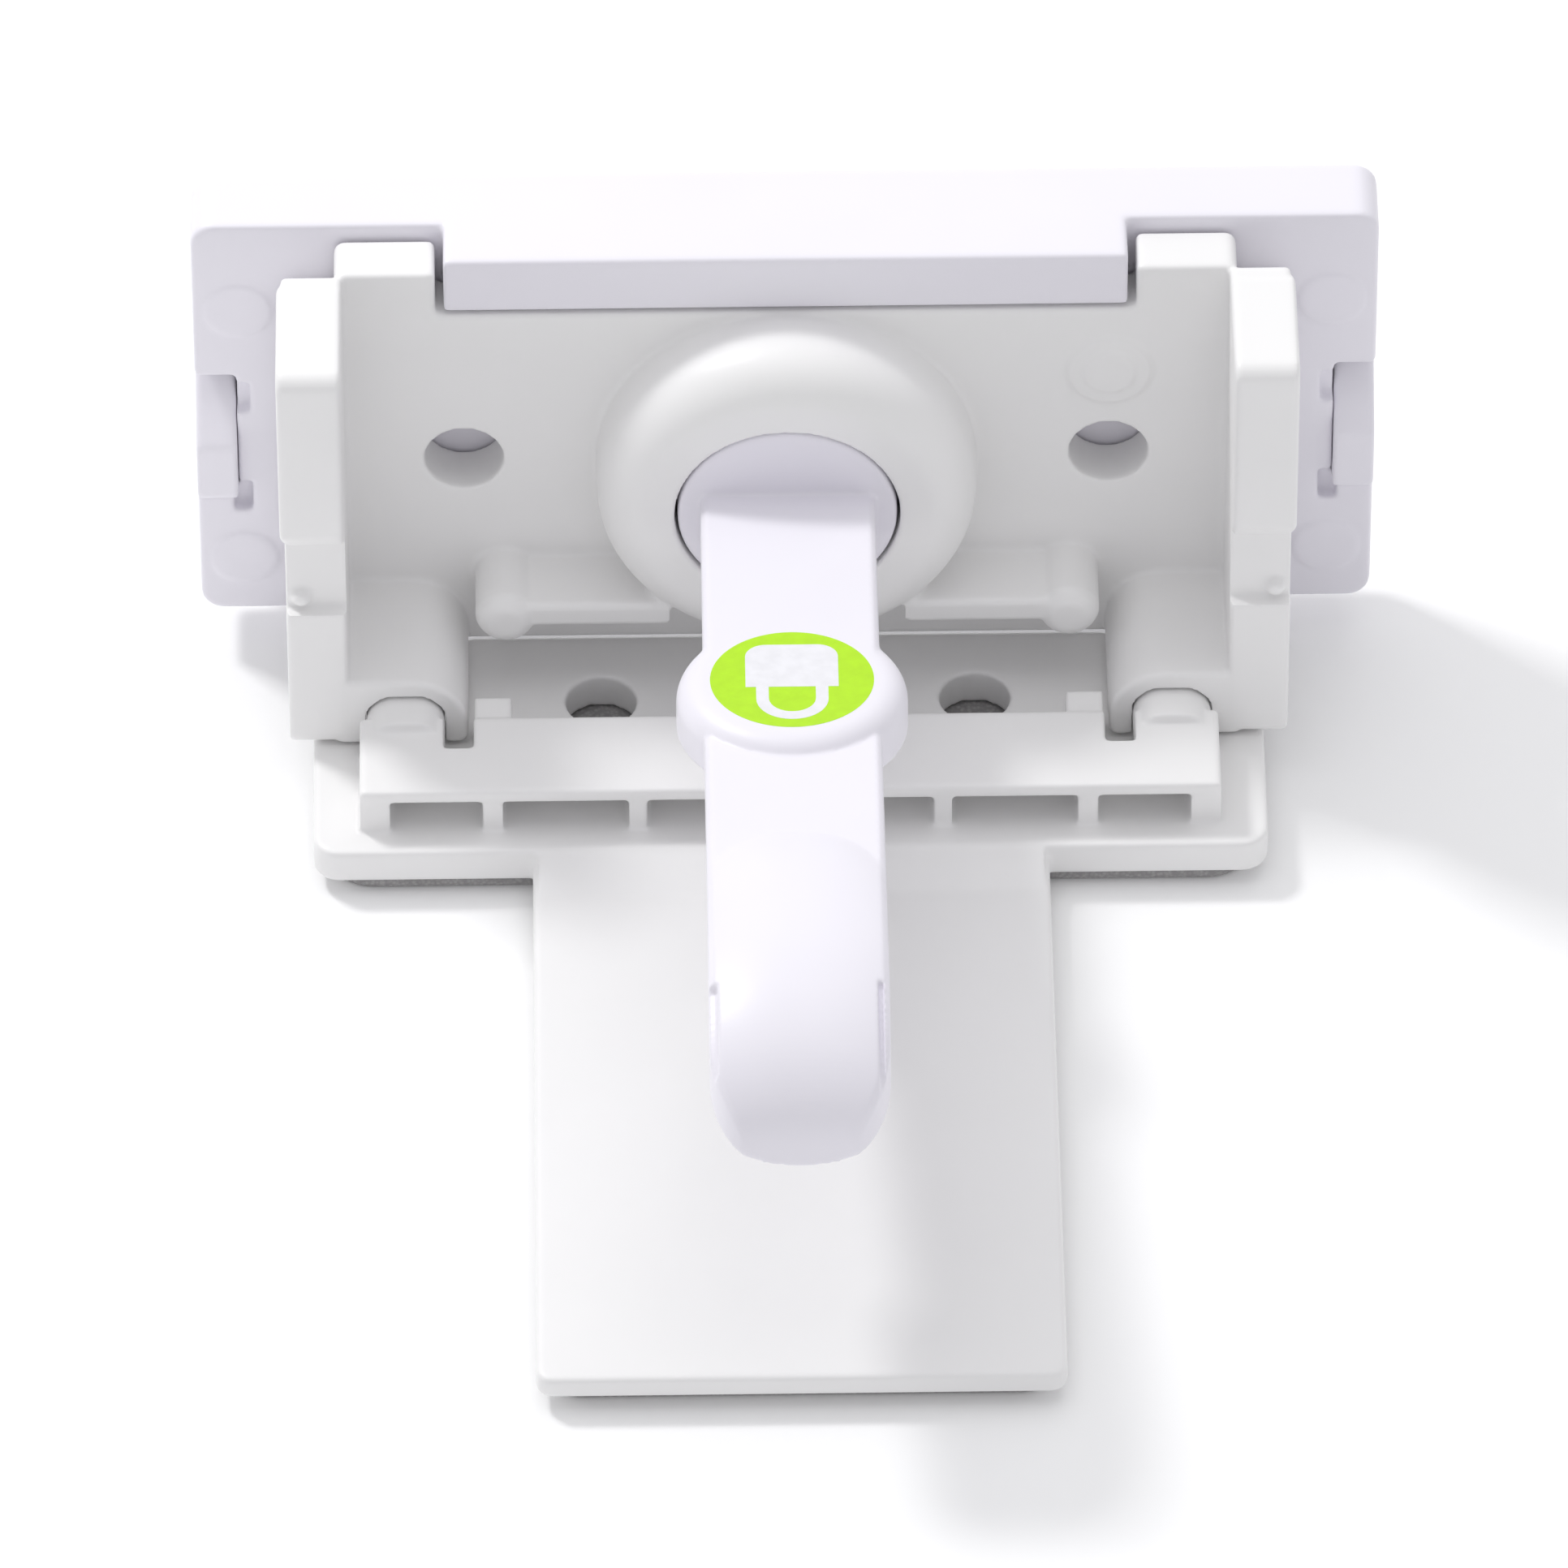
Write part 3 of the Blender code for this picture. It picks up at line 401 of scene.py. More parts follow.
def ramp(tree, value, low, high, from_low=0.3, from_high=0.7):
    made = tree.nodes.new("ShaderNodeMapRange")
    made.inputs["From Min"].default_value = from_low
    made.inputs["From Max"].default_value = from_high
    made.inputs["To Min"].default_value = low
    made.inputs["To Max"].default_value = high
    tree.links.new(value, made.inputs["Value"])
    return made.outputs["Result"]


def mixed_colour(tree, value, first, second):
    made = tree.nodes.new("ShaderNodeMix")
    made.data_type = "RGBA"
    made.inputs["A"].default_value = (*first, 1.0)
    made.inputs["B"].default_value = (*second, 1.0)
    tree.links.new(value, made.inputs["Factor"])
    return made.outputs["Result"]


def bumped(tree, shader, height, distance_mm, strength):
    made = tree.nodes.new("ShaderNodeBump")
    made.inputs["Strength"].default_value = strength
    made.inputs["Distance"].default_value = distance_mm * MM
    tree.links.new(height, made.inputs["Height"])
    tree.links.new(made.outputs["Normal"], shader.inputs["Normal"])


def plastic(name, colour, roughness):
    """Moulded plastic: slight flow marks in its colour and gloss, and a fine grain."""
    made, tree, shader, place = shader_of(name)
    deeper = [channel * 0.975 for channel in colour]
    flow = ramp(tree, noise(tree, place, 45.0), 0.0, 1.0)
    tree.links.new(mixed_colour(tree, flow, deeper, colour), shader.inputs["Base Color"])
    patches = ramp(tree, noise(tree, place, 160.0, 5.0), roughness - 0.05, roughness + 0.06)
    tree.links.new(patches, shader.inputs["Roughness"])
    bumped(tree, shader, noise(tree, place, 2600.0, 2.0), 0.004, 0.5)
    shader.inputs["IOR"].default_value = 1.5
    return made


def printed(name, colour):
    """Printed ink: even colour with a little mottling."""
    made, tree, shader, place = shader_of(name)
    deeper = [channel * 0.93 for channel in colour]
    speckle = ramp(tree, noise(tree, place, 900.0, 4.0), 0.0, 1.0)
    tree.links.new(mixed_colour(tree, speckle, deeper, colour), shader.inputs["Base Color"])
    tree.links.new(ramp(tree, noise(tree, place, 300.0), 0.32, 0.42), shader.inputs["Roughness"])
    bumped(tree, shader, noise(tree, place, 3500.0), 0.003, 0.5)
    return made


def cellular_foam(name, colour):
    """Closed-cell foam tape: small round cells raised by a bump, with painted shade in the crevices between
    them.
    """
    made, tree, shader, place = shader_of(name)
    cells = tree.nodes.new("ShaderNodeTexVoronoi")
    cells.inputs["Scale"].default_value = 2600.0
    tree.links.new(place, cells.inputs["Vector"])
    # Painted shade: the colour darkens towards each cell's edge, where the bump is lowest.
    depth = ramp(tree, cells.outputs["Distance"], 1.0, 0.0, 0.1, 0.7)
    painted_crevice_shade = [channel * 0.72 for channel in colour]
    tree.links.new(mixed_colour(tree, depth, painted_crevice_shade, colour), shader.inputs["Base Color"])
    shader.inputs["Roughness"].default_value = 0.85
    bumped(tree, shader, depth, 0.05, 0.8)
    return made


def bright_steel(name, colour):
    """Plated steel with fine turning marks and uneven gloss."""
    made, tree, shader, place = shader_of(name)
    duller = [channel * 0.82 for channel in colour]
    stain = ramp(tree, noise(tree, place, 350.0, 5.0), 0.0, 1.0)
    tree.links.new(mixed_colour(tree, stain, duller, colour), shader.inputs["Base Color"])
    tree.links.new(ramp(tree, noise(tree, place, 1200.0, 4.0), 0.22, 0.42), shader.inputs["Roughness"])
    bumped(tree, shader, noise(tree, place, 5200.0, 2.0), 0.004, 0.5)
    shader.inputs["Metallic"].default_value = 1.0
    return made


# --- Door plate -------------------------------------------------------------------------------------


def hinge_arm(side):
    """An arm from the beam to the knuckle round the hinge pin."""
    section = rounded(
        [
            (ARM_X[0], ARM_BOTTOM, 0.4),
            (ARM_X[1], ARM_BOTTOM, 0.4),
            (ARM_X[1], ARM_TOP, ARCH_CORNER - 0.1),
            (ARM_X[0], ARM_TOP, ARCH_CORNER - 0.1),
        ]
    )
    arm = slab("arm", section if side > 0 else mirrored(section), "Y", BEAM_BACK - 2.0, HINGE[0])
    return unite(arm, rod("knuckle", "X", HINGE, KNUCKLE_RADIUS, *side_range(side, *ARM_X), 0.3))


def stem_ramp():
    """The slope from the crossbar's top down to the stem's."""
    side = [
        (BAR_FRONT + 1.0, STEM_TOP - 1.0),
        (BAR_FRONT + 1.0, BAR_TOP - 0.05),
        (BAR_FRONT + 0.5, BAR_TOP - 0.05),
        (BAR_FRONT - STEM_RAMP, STEM_TOP - 0.02),
        (BAR_FRONT - STEM_RAMP, STEM_TOP - 1.0),
    ]
    return slab("ramp", [Vector(point) for point in side], "X", -STEM_HALF + 0.5, STEM_HALF - 0.5)


def door_plate():
    bar = both_ends(
        [
            (BAR_HALF, BAR_FRONT, 2.5),
            (BAR_HALF, BAR_END_BACK, 0.8),
            (BAR_MIDDLE_HALF, BAR_END_BACK, 0.5),
            (BAR_MIDDLE_HALF, BAR_BACK, 0.8),
        ]
    )
    plate = slab("door_plate_moulding", bar, "Z", PLATE_BOTTOM, BAR_TOP, 0.4)
    stem = rounded(
        [
            (-STEM_HALF, STEM_FRONT, 1.5),
            (STEM_HALF, STEM_FRONT, 1.5),
            (STEM_HALF, BAR_FRONT + 3.0, 0.0),
            (-STEM_HALF, BAR_FRONT + 3.0, 0.0),
        ]
    )
    unite(plate, slab("stem", stem, "Z", PLATE_BOTTOM, STEM_TOP, 0.5))
    unite(plate, stem_ramp())
    middle_x = (-BAR_MIDDLE_HALF, BAR_MIDDLE_HALF)
    unite(plate, block("back_edge", middle_x, BACK_EDGE_Y, (3.0, BAR_TOP), 0.08))
    beam_x = (-BEAM_HALF, BEAM_HALF)
    unite(plate, block("beam", beam_x, (BEAM_FRONT, BEAM_BACK), (BEAM_TOP - BEAM_SKIN, BEAM_TOP), 0.4))
    for low, high in BEAM_LEGS:
        for side in (-1, 1):
            x = side_range(side, low, high)
            leg = block("leg", x, (BEAM_FRONT + 0.1, BEAM_BACK - 0.1), (BAR_TOP - 0.5, BEAM_TOP - 0.6))
            unite(plate, leg)
    for side in (-1, 1):
        rear_x = side_range(side, BEAM_LEGS[1][1] - 0.5, BEAM_LEGS[2][0] + 0.5)
        rear_y = (BEAM_BACK - 1.6, BEAM_BACK - 0.2)
        unite(plate, block("rear_wall", rear_x, rear_y, (BAR_TOP - 0.5, BEAM_TOP - 0.7)))
        post_x = side_range(side, *POST_X)
        unite(plate, block("post", post_x, (BEAM_BACK - 1.0, POST_BACK), (BAR_TOP - 0.5, BEAM_TOP - 0.5)))
        notch_x = side_range(side, *BEAM_NOTCH_X)
        notch_y = (BEAM_NOTCH_FRONT, BEAM_BACK + PAST)
        cut(plate, block("notch", notch_x, notch_y, (BAR_TOP + 1.0, BEAM_TOP + PAST)))
        unite(plate, hinge_arm(side))
        hole_x, hole_y, hole_radius = PLATE_HOLE
        pin_bore = rod("bore", "X", HINGE, PIN_BORE_RADIUS, *side_range(side, 31.0, 40.6))
        cut(plate, pin_bore, rod("hole", "Z", (side * hole_x, hole_y), hole_radius, 0.0, BAR_TOP + PAST))
    return moulded(plate)


def foam_pad(name, outline, axis, low, high):
    """A strip of foam tape whose cut edge bulges a little."""
    middle = (low + high) / 2
    if signed_area(outline) < 0:
        outline = outline[::-1]
    levels = [(low, 0.1), (low + 0.12, 0.0), (middle, -FOAM_BULGE), (high - 0.12, 0.0), (high, 0.1)]
    rings = [[ALONG[axis](p.x, p.y, level) for p in inset(outline, back)] for level, back in levels]
    return skin(name, rings)


def crossbar_foam():
    half = BAR_HALF - FOAM_INSET
    middle_half = BAR_MIDDLE_HALF - FOAM_INSET
    outline = both_ends(
        [
            (half, BAR_FOAM_FRONT, 4.0),
            (half, BAR_END_BACK - FOAM_INSET, 1.0),
            (middle_half, BAR_END_BACK - FOAM_INSET, 0.0),
            (middle_half, BAR_BACK - FOAM_INSET, 1.0),
        ]
    )
    return foam_pad("crossbar_foam_tape", outline, "Z", 0.0, FOAM_THICK)


def stem_foam():
    half = STEM_HALF - FOAM_INSET
    outline = rectangle(-half, half, STEM_FRONT + FOAM_INSET, BAR_FOAM_FRONT - 0.4, 2.5)
    return foam_pad("stem_foam_tape", outline, "Z", 0.0, FOAM_THICK)


# --- Flap -------------------------------------------------------------------------------------------


def ear(side):
    """The side wall: a plate with a thicker grip pad above and a shallow notch below it."""
    x = side_range(side, EAR_INNER, FLAP_HALF)
    made = slab("ear", rectangle(EAR_FRONT, 0.5, FLAP_BOTTOM, EAR_TOP, 1.2), "X", *x, 0.4)
    pad_outline = rectangle(EAR_FRONT - PAD_PROUD, -0.6, PAD_BOTTOM, EAR_TOP + 0.1, 1.6)
    pad_x = side_range(side, EAR_INNER + 0.1, FLAP_HALF + PAD_PROUD)
    unite(made, slab("pad", pad_outline, "X", *pad_x, 0.4))
    notch_x = side_range(side, EAR_INNER - PAST, FLAP_HALF + PAST)
    notch_y = (EAR_FRONT - 2 * PAST, EAR_FRONT + NOTCH_DEPTH)
    cut(made, block("notch", notch_x, notch_y, (NOTCH_BOTTOM, PAD_BOTTOM)))
    nub = turned("nub", [(0.9, -12.6), (0.9, -13.4), (0.55, -13.9)], "Y", (side * 45.2, 23.4))
    return unite(made, nub)


def hood(side):
    """The cover over a hinge arm, hollow from below and from the front."""
    outline = rounded(
        [
            (HOOD_INNER, FLAP_BOTTOM, 1.0),
            (EAR_INNER + 1.0, FLAP_BOTTOM, 0.0),
            (EAR_INNER + 1.0, HOOD_TOP, 0.0),
            (HOOD_INNER, HOOD_TOP, HOOD_CORNER),
        ]
    )
    return slab("hood", outline if side > 0 else mirrored(outline), "Y", EAR_FRONT + 0.05, 0.5, 0.4)


def hood_hollow(side):
    outline = rounded(
        [
            (ARCH_X[0], FLAP_BOTTOM - 3.0, 0.0),
            (ARCH_X[1], FLAP_BOTTOM - 3.0, 0.0),
            (ARCH_X[1], ARCH_TOP, ARCH_CORNER),
            (ARCH_X[0], ARCH_TOP, ARCH_CORNER),
        ]
    )
    outline = outline if side > 0 else mirrored(outline)
    tunnel = slab("tunnel", outline, "Y", EAR_FRONT - 2 * PAST, WALL_BACK + 2 * PAST)
    return unite(tunnel, rod("room", "X", HINGE, KNUCKLE_RADIUS + GAP + 0.05, *side_range(side, *ARCH_X)))


def collar():
    straight = COLLAR_FRONT + COLLAR_EDGE
    profile = [(COLLAR_RADIUS, 0.5)]
    for step in range(2 * CORNER_STEPS + 1):
        angle = math.pi / 2 * step / (2 * CORNER_STEPS)
        along = straight - COLLAR_EDGE * math.sin(angle)
        profile.append((COLLAR_RADIUS - COLLAR_EDGE * (1 - math.cos(angle)), along))
    return turned("collar", profile, "Y", (0.0, AXIS_Z))


def wing(side):
    """A rib from the collar along the foot of the wall, ending in a round boss."""
    boss_x, boss_z, radius = BOSS
    made = block("rib", side_range(side, 11.0, boss_x), (RIB_FRONT, 0.5), RIB_Z, 0.6)
    profile = [(radius, 0.5), (radius, RIB_FRONT + 0.9)]
    profile += [(radius - 0.35, RIB_FRONT + 0.15), (radius - 1.2, RIB_FRONT - 0.4)]
    return unite(made, turned("boss", profile, "Y", (side * boss_x, boss_z)))


def retainer_pocket():
    """The room for the plate over the detent and the bar across its foot."""
    outline = both_ends(
        [
            (RETAINER_BAR_HALF + GAP, RETAINER_Z[0] - GAP, 1.0),
            (RETAINER_BAR_HALF + GAP, RETAINER_BAR_TOP + GAP, 1.0),
            (RETAINER_HALF + GAP, RETAINER_BAR_TOP + GAP, 1.0),
            (RETAINER_HALF + GAP, RETAINER_Z[1] + GAP, 1.0),
        ]
    )
    return slab("retainer_pocket", outline, "Y", DETENT_BACK, WALL_BACK + PAST)


def flap():
    wall = both_ends(
        [
            (FLAP_HALF, FLAP_BOTTOM, 1.2),
            (FLAP_HALF, WALL_TOP, 1.0),
            (TAB_X[1], WALL_TOP, 0.8),
            (TAB_X[1], TAB_TOP, 1.0),
            (TAB_X[0], TAB_TOP, 0.6),
            (TAB_X[0], WALL_TOP, 0.8),
        ]
    )
    made = slab("flap_moulding", wall, "Y", 0.0, WALL_BACK, 0.4)
    for radius, proud in STAMP_RINGS:
        unite(made, rod("stamp", "Y", (FLAP_HOLE_X, STAMP_Z), radius, -proud, 1.0))
    unite(made, collar(), *both_sides(ear), *both_sides(hood), *both_sides(wing))
    cut(made, *both_sides(hood_hollow))
    axis = (0.0, AXIS_Z)
    cut(made, rod("bore", "Y", axis, ROTOR_RADIUS + GAP, COLLAR_FRONT - PAST, WEB_FRONT))
    cut(made, rod("web_hole", "Y", axis, NECK_RADIUS + 0.5, WEB_FRONT - PAST, WEB_BACK + PAST))
    cut(made, rod("rear_pocket", "Y", axis, DETENT_RADIUS + 0.5, WEB_BACK, WALL_BACK + PAST))
    cut(made, retainer_pocket())
    for sign in (-1, 1):
        spring_z = sorted((AXIS_Z + sign * 8.0, AXIS_Z + sign * 12.6))
        cut(made, block("spring_pocket", (-10.5, 10.5), (WEB_BACK, WALL_BACK + PAST), spring_z))
        hole_centre = (sign * FLAP_HOLE_X, AXIS_Z)
        cut(made, rod("hole", "Y", hole_centre, FLAP_HOLE_RADIUS, -PAST, WALL_BACK + PAST))
        boss_centre = (sign * BOSS[0], BOSS[1])
        cut(made, rod("boss_bore", "Y", boss_centre, SCREW_BORE_RADIUS, SCREW_TIP, WALL_BACK))
        pin_x = side_range(sign, 30.4, FLAP_HALF + PAST)
        cut(made, rod("pin_bore", "X", HINGE, PIN_BORE_RADIUS, *pin_x))
    foot = [Vector((WALL_BACK - 1.4, FLAP_BOTTOM - PAST)), Vector((WALL_BACK + PAST, FLAP_BOTTOM - PAST))]
    foot += [Vector((WALL_BACK + PAST, FLAP_BOTTOM + 1.4)), Vector((WALL_BACK, FLAP_BOTTOM + 1.4))]
    foot += [Vector((WALL_BACK - 1.4, FLAP_BOTTOM))]
    cut(made, slab("foot_bevel", foot, "X", -FLAP_HALF - PAST, FLAP_HALF + PAST))
    return moulded(made)


# --- Lever and rotor --------------------------------------------------------------------------------


def nose_drop(along):
    """How far the lever has curved down at a distance from its root."""
    share = max(0.0, (along - NOSE_START) / (NOSE_END - NOSE_START))
    return (NOSE_DROP - GRIP_CROWN) * (1 - math.sqrt(max(0.0, 1 - share * share)))


def lever_top(across, along):
    """Height of the lever's top: flat, a step down after the disc, then a crowned grip that curves over."""
    flat = 0.0 if along < DISC_AT else -LEVER_STEP
    short = max(0.0, GRIP_FULL - along) / (GRIP_FULL - GRIP_START)
    side = abs(across) / (LEVER_HALF + 0.2)
    crown = GRIP_CROWN * (1 - side**2.4 - short**2.4) if along > GRIP_START else 0.0
    return flat + max(crown, 0.0) - nose_drop(along)


def lever_half(along):
    """Half the lever's width, closing in round the tip."""
    start = NOSE_END - 6.0
    share = max(0.0, along - start) / (NOSE_END + 0.4 - start)
    return LEVER_HALF - 4.6 * (1 - math.sqrt(max(0.0, 1 - share * share)))


def lever_bottom(along):
    blend = min(max((along - 60.0) / 12.0, 0.0), 1.0)
    smooth = blend * blend * (3 - 2 * blend)
    return -LEVER_THICK - smooth * (NOSE_DROP + LEVER_STEP - LEVER_THICK - 0.4)


def lever_ring(along, across_steps=32):
    half = lever_half(along)
    across = [half * (2 * step / across_steps - 1) for step in range(across_steps + 1)]
    bottom = lever_bottom(along)
    top = [(x, -along, max(lever_top(x, along), bottom + 0.6)) for x in across]
    side_drop = 0.5
    top[0] = (top[0][0], -along, top[0][2] - side_drop)
    top[-1] = (top[-1][0], -along, top[-1][2] - side_drop)
    under = [(half, bottom + 0.4), (half - 0.6, bottom), (-half + 0.6, bottom), (-half, bottom + 0.4)]
    return top + [(x, -along, z) for x, z in under]


def lever_stations():
    places = [-2.0, DISC_AT - 0.01, DISC_AT + 0.01, GRIP_START - 0.01]
    places += [GRIP_START + 0.5 * step for step in range(1, 32)]
    span = NOSE_END - NOSE_START
    return places + [NOSE_START + span * math.sin(math.pi / 2 * step / 32) for step in range(33)]


def side_groove(x_low, x_high, along_from, along_to):
    """A shallow slot in the grip's edge, following its curve."""
    rings = []
    for step in range(17):
        along = along_from + (along_to - along_from) * step / 16
        low = lever_top(x_low, along) - GROOVE_DEPTH
        high = 3.0
        corners = ((x_low, low), (x_high, low), (x_high, high), (x_low, high))
        rings.append([(x, -along, z) for x, z in corners])
    return skin("side_groove", rings)


def nose_corner(side):
    """What is cut from a lower corner of the grip, which leaves its end round."""
    low = lever_bottom(NOSE_END)
    high = low + NOSE_ROUND
    outline = [Vector((side * (LEVER_HALF + PAST), high)), Vector((side * (LEVER_HALF + PAST), low - PAST))]
    outline += [Vector((0.0, low - PAST)), Vector((0.0, low))]
    for step in range(1, CORNER_STEPS * 2 + 1):
        angle = math.pi / 2 * step / (CORNER_STEPS * 2)
        across = (LEVER_HALF + 0.1) * math.sin(angle)
        outline.append(Vector((side * across, high - NOSE_ROUND * math.cos(angle))))
    return slab("nose_corner", outline, "Y", -NOSE_END - 3.0, -GRIP_FULL)


def place_on_lever(made):
    """Moves a piece drawn in the lever's frame to its place on the rotor."""
    place = Matrix.Translation(Vector((0.0, ROTOR_FRONT, LEVER_ROOT_Z)) * MM)
    made.data.transform(place @ Matrix.Rotation(-LEVER_TILT, 4, "X"))
    return made


def lever_disc():
    profile = [(DISC_RADIUS - 1.0, -DISC_THICK), (DISC_RADIUS, -DISC_THICK + 1.0)]
    for step in range(CORNER_STEPS + 1):
        angle = math.pi / 2 * step / CORNER_STEPS
        radius = DISC_RADIUS - DISC_EDGE * (1 - math.cos(angle))
        profile.append((radius, -DISC_EDGE * (1 - math.sin(angle))))
    return turned("disc", profile, "Z", (0.0, -DISC_AT))


def rotor():
    """The drum that turns in the collar, its neck through the flap's web and the square key for the cam."""
    axis = (0.0, AXIS_Z)
    drum = rod("drum", "Y", axis, ROTOR_RADIUS, ROTOR_FRONT, ROTOR_BACK, 0.3)
    neck = rod("neck", "Y", axis, NECK_RADIUS, ROTOR_BACK - 1.0, NECK_BACK)
    key_outline = rectangle(-KEY_HALF, KEY_HALF, AXIS_Z - KEY_HALF, AXIS_Z + KEY_HALF)
    unite(drum, neck, slab("key", key_outline, "Y", NECK_BACK - 1.0, KEY_BACK))
    return cut(drum, rod("screw_bore", "Y", axis, 1.6, ROTOR_BACK, KEY_BACK + PAST))


def lever():
    arm = skin("lever_moulding", [lever_ring(along) for along in lever_stations()])
    unite(arm, lever_disc())
    cut(arm, *both_sides(nose_corner))
    cut(arm, side_groove(*GROOVE_LEFT), side_groove(*GROOVE_RIGHT))
    place_on_lever(arm)
    unite(arm, rotor())
    return moulded(arm, LEVER_VOXEL)


def lime_inlay():
    return place_on_lever(rod("lime_inlay_disc", "Z", (0.0, -DISC_AT), INLAY_RADIUS, -0.3, 0.02))


def shackle_outline(half, radius, tip, root):
    return rounded([(-half, tip, radius), (half, tip, radius), (half, root, 0.0), (-half, root, 0.0)])


def padlock_mark():
    """A plain padlock: a body with two round corners and a U-shaped shackle towards the lever's tip."""
    root = -DISC_AT + 5.5
    tip = -DISC_AT - 1.15
    layer = (-0.1, 0.035)
    body = rounded([(-4.25, tip, 0.0), (4.25, tip, 0.0), (4.25, root, 1.9), (-4.25, root, 1.9)])
    made = slab("padlock_symbol", body, "Z", *layer)
    shackle = slab("shackle", shackle_outline(3.3, 3.2, tip - 5.1, tip + 1.0), "Z", *layer)
    cut(shackle, slab("shackle_gap", shackle_outline(2.15, 2.1, tip - 3.9, tip), "Z", -1.0, 1.0))
    return place_on_lever(unite(made, shackle))


# --- Catch ------------------------------------------------------------------------------------------


def hook(side):
    """A snap hook of the catch's base: a stem, a ramp and a flat nose in the cover's side window."""
    nose = [(HOOK_FRONT, HOOK_Z[0]), (HOOK_FRONT, HOOK_Z[1]), (BASE_FRONT - 1.8, HOOK_TOP)]
    tail = [(BASE_FRONT + 0.5, HOOK_TOP), (BASE_FRONT + 0.5, HOOK_Z[0])]
    outline = rounded([(*nose[0], 1.0), (*nose[1], 1.6), (*nose[2], 0.5), (*tail[0], 0.0), (*tail[1], 0.0)])
    return slab("hook", outline, "X", *side_range(side, *HOOK_X), 0.25)


def catch_cover():
    front = rectangle(-CATCH_HALF, CATCH_HALF, CATCH_BOTTOM, CATCH_TOP, 2.2)
    cover = slab("catch_cover_moulding", front, "Y", CATCH_FRONT, CATCH_BACK, 0.5)
    unite(cover, block("lip", (-LIP_HALF, LIP_HALF), (0.05, CATCH_FRONT + 2), (LIP_BOTTOM, CATCH_TOP), 0.5))
    inside = CATCH_HALF - CATCH_WALL
    hollow = rectangle(-inside, inside, CATCH_BOTTOM + CATCH_WALL, CATCH_TOP - CATCH_WALL, 1.0)
    cut(cover, slab("hollow", hollow, "Y", CATCH_FRONT + CATCH_WALL, CATCH_BACK + PAST))
    relief_y = (CATCH_FRONT - PAST, CATCH_BACK + PAST)
    cut(cover, block("relief", (-RELIEF_HALF, RELIEF_HALF), relief_y, (CATCH_BOTTOM - PAST, RELIEF_TOP)))
    slot = rounded(
        [
            (-SLOT_HALF, CATCH_BOTTOM - PAST, 0.0),
            (SLOT_HALF, CATCH_BOTTOM - PAST, 0.0),
            (SLOT_HALF, AXIS_Z + SLOT_HALF, SLOT_HALF - 0.1),
            (-SLOT_HALF, AXIS_Z + SLOT_HALF, SLOT_HALF - 0.1),
        ]
    )
    cut(cover, slab("slot", slot, "Y", CATCH_FRONT - PAST, CATCH_FRONT + CATCH_WALL + PAST))
    for side in (-1, 1):
        cut(cover, block("window", side_range(side, WINDOW_INNER, CATCH_HALF + PAST), relief_y, WINDOW_Z))
        for slot_z in WINDOW_SLOTS_Z:
            slot_x = side_range(side, WINDOW_SLOT_INNER, WINDOW_INNER + 0.5)
            slot_y = (CATCH_FRONT - PAST, CATCH_FRONT + CATCH_WALL - 0.5)
            cut(cover, block("window_slot", slot_x, slot_y, slot_z))
        for height in MARK_Z:
            mark_y = (CATCH_FRONT - MARK_PROUD, CATCH_FRONT + 0.5)
            unite(cover, rod("mark", "Y", (side * MARK_X, height), MARK_RADIUS, *mark_y))
    return moulded(cover)


def catch_base():
    edge = CATCH_WALL + GAP
    outline = rectangle(-CATCH_HALF + edge, CATCH_HALF - edge, CATCH_BOTTOM + edge, CATCH_TOP - edge, 1.0)
    base = slab("catch_base_moulding", outline, "Y", BASE_FRONT, CATCH_BACK)
    unite(base, *both_sides(hook))
    relief_x = (-RELIEF_HALF, RELIEF_HALF)
    cut(base, block("relief", relief_x, (0.0, CATCH_BACK + PAST), (0.0, RELIEF_TOP)))
    return moulded(base)


def catch_foam():
    half = CATCH_HALF - 2.5
    low = CATCH_BOTTOM + 2.0
    outline = both_ends(
        [
            (RELIEF_HALF + 1.0, RELIEF_TOP + 1.5, 0.5),
            (RELIEF_HALF + 1.0, low, 1.0),
            (half, low, 2.0),
            (half, CATCH_TOP - 2.5, 2.0),
        ]
    )
    back = CATCH_BACK + GAP
    return foam_pad("catch_foam_tape", outline, "Y", back, back + CATCH_FOAM_THICK)


# --- Putting pieces on the frame --------------------------------------------------------------------


def place(piece, body, slot, node, coat, thin=True):
    """Puts a drawn piece on its body in the place of its CAD node."""
    if thin:
        lighten(piece)
    piece.data.transform(Matrix.Translation(SHIFT))
    piece.data.materials.clear()
    piece.data.materials.append(coat)
    piece.data.shade_smooth()
    piece.data.set_sharp_from_angle(angle=math.radians(50))
    weights = piece.modifiers.new("flat_faces_stay_flat", "WEIGHTED_NORMAL")
    weights.keep_sharp = True
    weights.weight = 100
    apply_modifiers(piece)
    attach(piece, body)
    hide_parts(node)
    return piece


def recoat(nodes, coat):
    """Gives CAD nodes that stay in view a procedural material."""
    for name in nodes:
        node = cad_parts[name]
        node.data.materials.clear()
        node.data.materials.append(coat)


